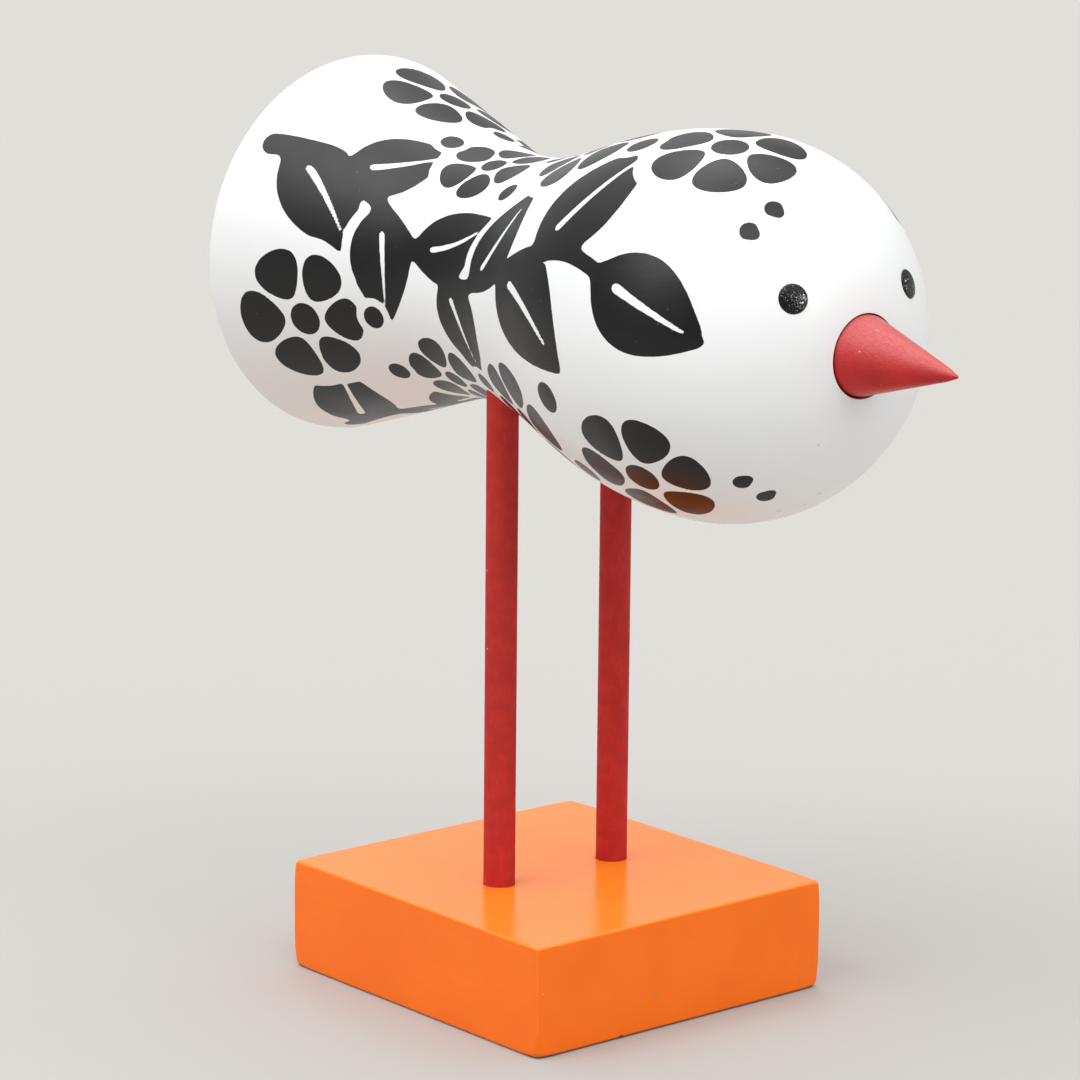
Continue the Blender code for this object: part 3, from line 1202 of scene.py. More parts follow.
@dataclass(frozen=True)
class FoliagePrint:
    """Printed design: leafy vines from tail to head, with flowers and berries between them."""

    vines: int = 3
    first_vine: float = math.radians(68.0)
    tail_run: float = -1.60
    tips: tuple[float, ...] = (2.66, 2.16, 2.52)
    lean: float = 0.10
    sway: float = 0.24
    sway_rate: float = 2.1
    sway_start: float = 0.9
    leaves: int = 8
    leaf_length: float = 28.5
    leaf_width: float = 17.6
    leaf_angle: float = math.radians(50.0)
    leaf_bend: float = 2.2
    leaf_variety: float = 0.06
    leaf_beat: float = 1.7
    first_leaf: float = 0.12
    last_pair: float = 1.30
    tip_leaf: Leaf = Leaf(26.0, 16.5, 0.0)
    tip_leaf_foot: float = 0.60
    stem_end: float = 0.55
    stem_stretches: int = 40
    stem_widths: tuple[float, float] = (4.2, 2.6)
    fork_fillet: float = 2.0
    # Each flower between two vines: its run and its radius.
    blossoms: tuple[tuple[float, float], ...] = ((-1.16, 14.6), (-0.01, 14.2), (1.14, 14.6), (2.24, 13.2))
    petals: int = 6
    blossom_turn: float = 0.35
    # Each berry: its run, its angle from the middle between two vines, and its radius.
    berries: tuple[tuple[float, float, float], ...] = (
        (-0.585, -0.25, 2.8),
        (-0.585, 0.25, 2.8),
        (0.565, -0.26, 2.8),
        (0.565, 0.26, 2.8),
        (1.70, -0.26, 2.8),
        (1.70, 0.26, 2.8),
        (2.80, -0.12, 2.2),
        (2.80, 0.12, 2.2),
    )
    margin: float = 2.2
    blossom_margin: float = 2.4
    berry_margin: float = 2.0

    def path(self, run: float) -> float:
        """Angle that a vine has gained at this run."""
        return self.lean * run + self.sway * math.sin(self.sway_rate * run + self.sway_start)

    def heading(self, run: float) -> float:
        """Direction of a vine at this run."""
        bend = self.sway * self.sway_rate * math.cos(self.sway_rate * run + self.sway_start)
        return math.atan(self.lean + bend)

    def vine(self, sheet: PrintSheet, number: int) -> np.ndarray:
        """Draw one vine with its leaves.

        Args:
            sheet: Sheet that it is drawn on.
            number: Which of the vines.

        Returns:
            Distances to the vine.
        """
        start = self.first_vine + number * math.tau / self.vines
        tip = self.tips[number % len(self.tips)]
        foliage = np.full(sheet.run.shape, FAR_FROM_INK)
        for index in range(self.leaves):
            share = index / (self.leaves - 1)
            run = self.tail_run + self.first_leaf + (tip - self.tail_run - self.last_pair) * share
            side = 1.0 if (index + number) % 2 == 0 else -1.0
            size = 1.0 - self.leaf_variety * math.sin(self.leaf_beat * index + number)
            leaf = Leaf(self.leaf_length * size, self.leaf_width * size, -self.leaf_bend * side)
            heading = self.heading(run) + side * self.leaf_angle
            placed = sheet.shape(leaf, run, start + self.path(run), heading)
            foliage = lay_over(foliage, placed, self.margin)
        run = tip - self.tip_leaf_foot
        placed = sheet.shape(self.tip_leaf, run, start + self.path(run), self.heading(run))
        foliage = lay_over(foliage, placed, self.margin)
        runs = np.linspace(self.tail_run, tip - self.stem_end, self.stem_stretches + 1)
        stem = sheet.stem([(run, start + self.path(run)) for run in runs], *self.stem_widths)
        return soft_join(stem, foliage, self.fork_fillet)

    def draw(self, sheet: PrintSheet) -> np.ndarray:
        """Draw the whole design.

        Args:
            sheet: Bare sheet.

        Returns:
            Distance to the nearest edge of ink at every point, negative inside.
        """
        for number in range(self.vines):
            sheet.lay(self.vine(sheet, number), self.margin)
        for number in range(self.vines):
            start = self.first_vine + (number + 0.5) * math.tau / self.vines
            for index, (run, radius) in enumerate(self.blossoms):
                blossom = Blossom(radius, self.petals, self.blossom_turn * index + number)
                sheet.lay(sheet.shape(blossom, run, start + self.path(run)), self.blossom_margin)
            for run, aside, radius in self.berries:
                berry = sheet.shape(Berry(radius), run, start + self.path(run) + aside)
                sheet.lay(berry, self.berry_margin)
        return sheet.ink


@dataclass(frozen=True)
class BodyOutline:
    """Turned outline of the body, as radius over station."""

    tail_length: float = 82.7 * MM
    tail_radius: float = 49.8 * MM
    tail_edge_radius: float = 1.0 * MM
    flare_angle: float = math.radians(17.4)
    flare_fullness: float = 0.78
    waist_station: float = -15.3 * MM
    waist_radius: float = 31.7 * MM
    waist_fullness: float = 0.22
    neck_fullness: float = 0.38
    cheek_fullness: float = 0.46
    head_station: float = 64.2 * MM
    head_radius: float = 47.4 * MM
    nose_reach: float = 46.4 * MM
    fine_nose: float = 0.62
    nose_points: int = 900
    edge_points: int = 60
    tip_steps: int = 18
    nose_steps: int = 42
    neck_steps: int = 104
    flare_steps: int = 88
    edge_steps: int = 5
    end_steps: int = 8

    def nose(self) -> np.ndarray:
        """Quarter ellipse from the nose's tip to the widest part of the head."""
        angle = np.linspace(0.0, math.pi / 2, self.nose_points)
        station = self.head_station + self.nose_reach * np.cos(angle)
        return np.stack([self.head_radius * np.sin(angle), station], axis=1)

    def neck(self) -> np.ndarray:
        """Curve from the widest part of the head to the waist."""
        reach = self.head_station - self.waist_station
        head = Vector((self.head_radius, self.head_station))
        waist = Vector((self.waist_radius, self.waist_station))
        cheek = head - Vector((0.0, self.cheek_fullness * reach))
        return bezier(head, cheek, waist + Vector((0.0, self.neck_fullness * reach)), waist)

    def tail_edge(self) -> np.ndarray:
        """Rounded edge between the flare and the flat tail end."""
        angle = np.linspace(self.flare_angle, -math.pi / 2, self.edge_points)
        radius = self.tail_radius - self.tail_edge_radius + self.tail_edge_radius * np.cos(angle)
        station = self.tail_edge_radius * (1.0 + np.sin(angle)) - self.tail_length
        return np.stack([radius, station], axis=1)

    def flare(self) -> np.ndarray:
        """Curve from the waist to the rim of the tail."""
        waist = Vector((self.waist_radius, self.waist_station))
        edge = Vector(self.tail_edge()[0])
        reach = self.waist_station - edge.y
        waist_handle = waist - Vector((0.0, self.waist_fullness * reach))
        rim_handle = edge + self.flare_fullness * reach * Vector((-math.tan(self.flare_angle), 1.0))
        return bezier(waist, waist_handle, rim_handle, edge)

    def rings(self) -> np.ndarray:
        """Every ring of the turned body, from the nose's tip to the tail's middle."""
        nose = self.nose()
        split = int(np.count_nonzero(nose[:, 1] > self.head_station + self.fine_nose * self.nose_reach))
        parts = [
            (nose[:split], self.tip_steps),
            (nose[split - 1 :], self.nose_steps),
            (self.neck(), self.neck_steps),
            (self.flare(), self.flare_steps),
            (self.tail_edge(), self.edge_steps),
            (np.array([self.tail_edge()[-1], (0.0, -self.tail_length)]), self.end_steps),
        ]
        spread = [evenly(points, steps)[:-1] for points, steps in parts]
        return np.concatenate([*spread, [(0.0, -self.tail_length)]])

    def skin(self) -> np.ndarray:
        """Closely spaced outline from the nose's tip to the tail's rim."""
        return np.concatenate([self.nose()[:-1], self.neck()[:-1], self.flare()[:-1], self.tail_edge()])

    def head_station_at(self, radius: float) -> float:
        """Station of the front of the head where it has this radius."""
        return self.head_station + self.nose_reach * math.sqrt(1.0 - (radius / self.head_radius) ** 2)

    def radius_at(self, station: float) -> float:
        """Radius of the skin at a station behind the head."""
        outline = np.concatenate([self.neck()[:-1], self.flare()])[::-1]
        return float(np.interp(station, outline[:, 1], outline[:, 0]))

    def run_at(self, stations: np.ndarray) -> np.ndarray:
        """Distance along the skin in turns of the local radius, from the waist.

        Args:
            stations: Where it is wanted.

        Returns:
            One number for each station, positive towards the head.
        """
        skin = self.skin()[5:]
        step = np.linalg.norm(np.diff(skin, axis=0), axis=1) / (0.5 * (skin[1:, 0] + skin[:-1, 0]))
        run = -np.concatenate([[0.0], np.cumsum(step)])
        order = np.argsort(skin[:, 1])
        reach = np.interp(stations, skin[order, 1], run[order])
        return reach - np.interp(self.waist_station, skin[order, 1], run[order])


@dataclass
class Block:
    """Painted block with two drilled holes and eased edges."""

    length: float = 99.2 * MM
    width: float = 95.2 * MM
    height: float = 28.5 * MM
    top_ease: float = 0.7 * MM
    bottom_ease: float = 0.95 * MM
    front_ease: float = 0.45 * MM
    upright_ease: float = 0.6 * MM
    crown_ease: float = 1.4 * MM
    foot_ease: float = 2.0 * MM
    ease_fade: float = 4.0 * MM
    face_step: float = 2.4 * MM
    hand_sanding: float = 0.10 * MM
    drill_above: float = 6.0 * MM
    # Painted shadow along the foot: how high it reaches on the sides and on the front, and where the front
    # begins.
    foot_shadow_side: float = 0.6 * MM
    foot_shadow_front: float = 1.15 * MM
    front_from: float = 0.9
    front_over: float = 0.1
    # Painted highlight on the faces that look up: where it starts and over how much it grows.
    highlight_from: float = 0.35
    highlight_over: float = 0.5
    sanded_corner_from: float = 1.72
    sanded_corner: float = 2.0
    unsanded_foot: float = 0.3
    squareness: int = 10
    crease: float = math.radians(38.0)

    def _ticks(self, half: float) -> np.ndarray:
        """Places of the grid lines along one axis, close together towards the edges."""
        rise = np.array([0.0, 0.07, 0.15, 0.24, 0.34, 0.46, 0.60, 0.78, 1.0, 1.28, 1.62, 2.05, 2.6, 3.3]) * MM
        flat = half - rise[-1]
        inner = np.linspace(-flat, flat, int(round(2 * flat / self.face_step)) + 1)
        return np.concatenate([-half + rise[:-1], inner, half - rise[-2::-1]])

    def _ease_at(self, places: np.ndarray, half: np.ndarray) -> np.ndarray:
        """Radius of the rounding near each point, larger at the feet of the corners.

        Args:
            places: Points on the sharp block round its middle.
            half: Half of its size.

        Returns:
            Radius for each point.
        """
        height = (places[:, 2] / half[2] + 1.0) / 2.0
        ease = self.bottom_ease + (self.top_ease - self.bottom_ease) * height
        for ahead in (-1.0, 1.0):
            for aside in (-1.0, 1.0):
                gap = np.hypot(places[:, 0] - ahead * half[0], places[:, 1] - aside * half[1])
                front = (ahead, aside) == (1.0, -1.0)
                corner = [
                    (gap, self.front_ease if front else self.upright_ease),
                    (np.hypot(gap, places[:, 2] - half[2]), self.top_ease if front else self.crown_ease),
                    (np.hypot(gap, places[:, 2] + half[2]), self.foot_ease),
                ]
                for far, target in corner:
                    ease = ease + (target - ease) * np.exp(-((far / self.ease_fade) ** 2))
        return ease[:, None]

    def _sharp(self, half: np.ndarray) -> bpy.types.Mesh:
        """Build one closed grid over a sharp-edged box.

        Args:
            half: Half of the block's size.

        Returns:
            The mesh, round the block's middle.
        """
        ticks = [self._ticks(value) for value in half]
        shape = bmesh.new()
        for axis in range(3):
            first, second = (axis + 1) % 3, (axis + 2) % 3
            for sign in (-1.0, 1.0):
                rows = []
                for one in ticks[first]:
                    row = []
                    for two in ticks[second]:
                        place = np.zeros(3)
                        place[axis], place[first], place[second] = sign * half[axis], one, two
                        row.append(shape.verts.new(place))
                    rows.append(row)
                for low, high in zip(rows, rows[1:]):
                    for number in range(len(low) - 1):
                        corners = (low[number], high[number], high[number + 1], low[number + 1])
                        shape.faces.new(corners if sign > 0 else corners[::-1])
        bmesh.ops.remove_doubles(shape, verts=shape.verts, dist=WELD)
        mesh = bpy.data.meshes.new("base_block")
        shape.to_mesh(mesh)
        shape.free()
        return mesh

    def mesh(self) -> bpy.types.Mesh:
        """Build the block with rounded edges, and store how worn it is and its painted light: a lighter top
        and a shadowed foot.

        Returns:
            The mesh, standing on the floor.
        """
        half = np.array([self.length / 2, self.width / 2, self.height / 2])
        mesh = self._sharp(half)
        places = points_of(mesh)
        ease = self._ease_at(places, half)
        core = np.clip(places, ease - half, half - ease)
        out = places - core
        reach = np.maximum(np.linalg.norm(out, axis=1, keepdims=True), NEARLY_NONE)
        rounded = core + out / reach * ease
        rounded = rounded - self._unevenness(rounded, half)
        rounded[:, 2] += half[2]
        mesh.vertices.foreach_set("co", rounded.astype(np.float32).ravel())
        gaps = np.sort(half - np.abs(places), axis=1)[:, 1] / MM
        store_number(mesh, "edge", gaps)
        # Painted highlight: the faces that look up are painted lighter, as the light falls on them.
        painted_highlight = np.clip((out[:, 2] / reach[:, 0] - self.highlight_from) / self.highlight_over, 0.0, 1.0)
        # Painted shadow: a dark band along the foot, higher on the front.
        forward = np.clip((places[:, 0] / half[0] - self.front_from) / self.front_over, 0.0, 1.0)
        risen = self.foot_shadow_side + (self.foot_shadow_front - self.foot_shadow_side) * forward
        foot_shadow = np.clip(1.0 - rounded[:, 2] / risen, 0.0, 1.0)
        # The stored fade number carries the painted light: positive for the lighter top, negative for the
        # shadow at the foot.
        store_number(mesh, "fade", painted_highlight - foot_shadow)
        mesh.shade_smooth()
        return mesh

    def _unevenness(self, places: np.ndarray, half: np.ndarray) -> np.ndarray:
        """How far sanding by hand has taken each point inwards.

        Args:
            places: Points of the block round its middle.
            half: Half of its size.

        Returns:
            Vectors to take off; none on the underside.
        """
        x, y, z = (places / half).T
        wave = 0.5 + 0.25 * np.sin(2.1 * x + 1.3 * y + 0.4) + 0.25 * np.sin(3.1 * y - 1.7 * x + 2.0 * z)
        corner = np.clip(np.abs(x) + np.abs(y) - self.sanded_corner_from, 0.0, 1.0) * self.sanded_corner
        above_foot = np.clip(1.0 + z, 0.0, self.unsanded_foot)
        depth = self.hand_sanding * (0.5 * wave + corner) * above_foot / self.unsanded_foot
        inward = np.sign(places) * np.abs(places / half) ** self.squareness
        length = np.maximum(np.linalg.norm(inward, axis=1), NEARLY_NONE)
        return inward / np.maximum(length, 1.0)[:, None] * depth[:, None]

    def build(self, shop: Workshop, legs: "Legs") -> bpy.types.Object:
        """Build and drill the block.

        Args:
            shop: Lathe and finishes.
            legs: Legs that stand in it.

        Returns:
            The finished block.
        """
        block = place_piece("painted_block", self.mesh())
        block.data.materials.append(shop.finishes["block"])
        floor = self.height - legs.depth_in_block
        cutters = [legs.drill(shop, side, floor, self.height + self.drill_above) for side in Side]
        shop.cut(block, cutters)
        block.data.set_sharp_from_angle(angle=self.crease)
        shop.hand_over(block, "base_block", Slot.BLOCK)
        return block


@dataclass
class Legs:
    """Two painted round bars between the block and the body."""

    diameter: float = 8.15 * MM
    spacing: float = 38.0 * MM
    clear_length: float = 125.2 * MM
    depth_in_block: float = 20.0 * MM
    depth_in_body: float = 24.0 * MM
    fit_gap: float = 0.3 * MM
    paint_gap: float = 0.05 * MM
    sides: int = 48
    rings: int = 90
    end_ease: float = 0.4 * MM
    spared_end: float = 1.0
    crease: float = math.radians(30.0)

    def stand(self, side: Side) -> Matrix:
        """Where one leg's own frame stands."""
        return Matrix.Translation((0.0, side.value * self.spacing / 2, 0.0))

    def drill(self, shop: Workshop, side: Side, bottom: float, top: float) -> bpy.types.Object:
        """Cutter for the hole of one leg, which the paint has closed up to a hairline.

        Args:
            shop: Lathe and finishes.
            side: Which leg.
            bottom: Height of its lower end.
            top: Height of its upper end.

        Returns:
            The closed cutter.
        """
        radius = self.diameter / 2 + self.paint_gap
        outline = np.array([(0.0, top), (radius, top), (radius, bottom), (0.0, bottom)])
        name, stand = f"hole_{side.word}", self.stand(side)
        return shop.lathe.turn(name, outline, self.sides, shop.finishes["wood"], stand)

    def build(self, shop: Workshop, block_height: float) -> list[bpy.types.Object]:
        """Build both legs.

        Args:
            shop: Lathe and finishes.
            block_height: Height of the block's top.

        Returns:
            The finished legs.
        """
        radius = self.diameter / 2
        bottom = block_height - self.depth_in_block + self.fit_gap
        top = block_height + self.clear_length + self.depth_in_body - self.fit_gap
        end = radius - self.end_ease
        flank = np.array([(radius, top - self.end_ease), (radius, bottom + self.end_ease)])
        shaft = evenly(flank, self.rings)
        outline = np.concatenate([[(0.0, top), (end, top)], shaft, [(end, bottom), (0.0, bottom)]])
        legs = []
        for side in Side:
            name, stand = f"painted_leg_{side.word}", self.stand(side)
            leg = shop.lathe.turn(name, outline, self.sides, shop.finishes["legs"], stand)
            heights = points_of(leg.data)[:, 2]
            ends = np.minimum(heights - bottom, top - heights) / MM
            store_number(leg.data, "edge", ends + self.spared_end)
            leg.data.set_sharp_from_angle(angle=self.crease)
            shop.hand_over(leg, f"leg_{side.word}", Slot.LEGS)
            legs.append(leg)
        return legs


@dataclass
class Body:
    """Turned, lacquered and printed body."""

    outline: BodyOutline = field(default_factory=BodyOutline)
    design: FoliagePrint = field(default_factory=FoliagePrint)
    nose_down: float = math.radians(1.27)
    sides: int = 352
    ink_settling: float = 0.6
    drill_below: float = 12.0 * MM
    crease: float = math.radians(38.0)

    def axis_height(self, block: Block, legs: Legs) -> float:
        """Height of the axis over the ground, at the line of the legs."""
        drop = math.sqrt(self.outline.radius_at(0.0) ** 2 - (legs.spacing / 2) ** 2)
        return block.height + legs.clear_length + drop

    def frame(self, block: Block, legs: Legs) -> Matrix:
        """The body's own frame: X along its axis to the nose, Z to its crest."""
        axis = Matrix.Translation((0.0, 0.0, self.axis_height(block, legs)))
        return axis @ Matrix.Rotation(self.nose_down, 4, "Y")

    def _on_end(self, station: np.ndarray, radius: np.ndarray) -> np.ndarray:
        """Which points lie on the flat tail end."""
        rim = self.outline.tail_radius - self.outline.tail_edge_radius
        return (station < WELD - self.outline.tail_length) & (radius < rim + WELD)

    def _store_print(self, mesh: bpy.types.Mesh, places: np.ndarray) -> None:
        """Store each point's distance to the edge of the ink.

        Args:
            mesh: The drilled body.
            places: Its vertices in the body's own frame.
        """
        radius = np.hypot(places[:, 1], places[:, 2])
        turn = np.arctan2(-places[:, 1], places[:, 2])
        sheet = PrintSheet(self.outline.run_at(places[:, 0]), turn, self.outline.waist_radius / MM)
        drawn = self.design.draw(sheet) * radius / self.outline.waist_radius
        ink = settled(mesh, drawn, self.ink_settling)
        store_number(mesh, "print", np.where(self._on_end(places[:, 0], radius), FAR_FROM_INK, ink))

    def _true_shading(self, mesh: bpy.types.Mesh, places: np.ndarray, own: Matrix) -> None:
        """Shade the skin by the outline's own slope.

        Args:
            mesh: The drilled body.
            places: Its vertices in the body's own frame.
            own: The body's own frame.
        """
        station = places[:, 0]
        radius = np.hypot(places[:, 1], places[:, 2])
        on_end = self._on_end(station, radius)
        skin = self.outline.skin()
        slope = np.gradient(skin, axis=0)
        slope /= np.linalg.norm(slope, axis=1, keepdims=True)
        order = np.argsort(skin[:, 1])
        outward = np.interp(station, skin[order, 1], -slope[order, 1])
        ahead = np.interp(station, skin[order, 1], slope[order, 0])
        outward, ahead = np.where(on_end, 0.0, outward), np.where(on_end, -1.0, ahead)
        safe = np.maximum(radius, NEARLY_NONE)
        normal = np.stack([ahead, outward * places[:, 1] / safe, outward * places[:, 2] / safe], axis=1)
        normal /= np.linalg.norm(normal, axis=1, keepdims=True)
        normal = normal @ np.array(own)[:3, :3].T
        corner = gathered(mesh.loops, "vertex_index", 1, np.int32)
        finish = gathered(mesh.polygons, "material_index", 1, np.int32)
        count = gathered(mesh.polygons, "loop_total", 1, np.int32)
        skinned = np.repeat(finish == 0, count)
        wanted = np.where(skinned[:, None], normal[corner], 0.0)
        mesh.normals_split_custom_set(wanted.tolist())

    def build(self, shop: Workshop, block: Block, legs: Legs, beak: "Beak", eyes: "Eyes") -> bpy.types.Object:
        """Turn, drill and print the body.

        Args:
            shop: Lathe and finishes.
            block: Block under it.
            legs: Legs that carry it.
            beak: Beak that sits in it.
            eyes: Eyes that sit in it.

        Returns:
            The finished body.
        """
        own = self.frame(block, legs)
        along = own @ Matrix.Rotation(math.pi / 2, 4, "Y")
        body = shop.lathe.turn("printed_body", self.outline.rings(), self.sides, shop.finishes["body"], along)
        belly = block.height + legs.clear_length
        roof = belly + legs.depth_in_body
        cutters = [legs.drill(shop, side, belly - self.drill_below, roof) for side in Side]
        cutters.append(beak.drill(shop, self, own))
        cutters.extend(eyes.drill(shop, self, own, side) for side in Side)
        shop.cut(body, cutters)
        body.data.set_sharp_from_angle(angle=self.crease)
        inverse = np.array(own.inverted())
        places = points_of(body.data) @ inverse[:3, :3].T + inverse[:3, 3]
        self._store_print(body.data, places)
        self._true_shading(body.data, places, own)
        shop.hand_over(body, "body", Slot.BODY)
        return body


def pocket_outline(radius: float, depth: float, dip: float, ease: float) -> np.ndarray:
    """Outline of a drill that also eases the mouth of its hole.

    Args:
        radius: Radius of the hole.
        depth: Depth of the hole under the local origin.
        dip: How far the skin lies under the local origin at the mouth.
        ease: Size of the eased edge.

    Returns:
        Radius and height of each ring, from the top to the bottom.
    """
    top = 5.0 * MM
    mouth = -dip - ease
    funnel = [(0.0, top), (radius + top - mouth, top), (radius, mouth)]
    return np.array([*funnel, (radius, -depth), (0.0, -depth)])


@dataclass
class Beak:
    """Painted cone with a rounded tip, set in a pocket of the head."""

    diameter: float = 19.5 * MM
    length: float = 30.6 * MM
    tip_radius: float = 0.9 * MM
    sharpened: float = 0.5 * MM
    sharpened_over: float = 3.4 * MM
    rise: float = 0.5 * MM
    depth_in_head: float = 8.0 * MM
    fit_gap: float = 0.3 * MM
    mouth_ease: float = 0.25 * MM
    collar: float = 0.4 * MM
    sides: int = 128
    tip_points: int = 14
    point_steps: int = 7
    flank_steps: int = 44
    unworn: float = 5.0
    # Painted highlight: its share on the sides, and how much more the faces that look up get.
    highlight_level: float = 0.2
    highlight_upward: float = 0.9
    crease: float = math.radians(30.0)

    def half_angle(self) -> float:
        """Half angle of the cone under its rounded tip."""
        low, high = 1e-3, math.pi / 2
        for _ in range(50):
            angle = (low + high) / 2
            apex = self.length - self.tip_radius + self.tip_radius / math.sin(angle)
            if apex * math.tan(angle) < self.diameter / 2:
                low = angle
            else:
                high = angle
        return (low + high) / 2

    def seat(self, body: Body, own: Matrix) -> Matrix:
        """The beak's own frame: Z along it, the origin in its base."""
        station = body.outline.head_station_at(self.diameter / 2 + self.fit_gap)
        return own @ Matrix.Translation((station, 0.0, self.rise)) @ Matrix.Rotation(math.pi / 2, 4, "Y")

    def drill(self, shop: Workshop, body: Body, own: Matrix) -> bpy.types.Object:
        """Cutter for the beak's pocket.

        Args:
            shop: Lathe and finishes.
            body: Body that holds it.
            own: The body's own frame.

        Returns:
            The closed cutter.
        """
        radius = self.diameter / 2 + self.fit_gap
        outline = pocket_outline(radius, self.depth_in_head, 0.0, self.mouth_ease)
        seat = self.seat(body, own)
        return shop.lathe.turn("beak_pocket", outline, self.sides, shop.finishes["wood"], seat)

    def build(self, shop: Workshop, body: Body, own: Matrix) -> bpy.types.Object:
        """Turn the beak.

        Args:
            shop: Lathe and finishes.
            body: Body that holds it.
            own: The body's own frame.

        Returns:
            The finished beak.
        """
        angle = self.half_angle()
        radius = self.diameter / 2
        foot = self.length - self.sharpened_over
        neck = radius - foot * math.tan(angle)
        away = self.sharpened_over - self.sharpened
        blunt = math.atan2(neck, away) - math.asin(self.sharpened / math.hypot(neck, away))
        turn = np.linspace(math.pi / 2, blunt, self.tip_points)
        tip = np.stack([np.cos(turn), np.sin(turn)], axis=1) * self.sharpened
        tip += (0.0, self.length - self.sharpened)
        tip[0, 0] = 0.0
        point = evenly(np.array([tip[-1], (neck, foot)]), self.point_steps)[1:-1]
        flank = evenly(np.array([(neck, foot), (radius, 0.0)]), self.flank_steps)
        back = self.fit_gap - self.depth_in_head
        plug = [(radius, -self.collar), (radius, back), (0.0, back)]
        outline = np.concatenate([tip, point, flank, plug])
        seat = self.seat(body, own)
        beak = shop.lathe.turn("painted_beak", outline, self.sides, shop.finishes["beak"], seat)
        store_number(beak.data, "edge", np.full(len(beak.data.vertices), self.unworn))
        # Painted highlight, stored under fade: paler where the faces look up.
        upward = np.array([vertex.normal.z for vertex in beak.data.vertices])
        store_number(beak.data, "fade", np.clip(self.highlight_level + self.highlight_upward * upward, 0.0, 1.0))
        beak.data.set_sharp_from_angle(angle=self.crease)
        shop.hand_over(beak, "beak", Slot.BEAK)
        return beak


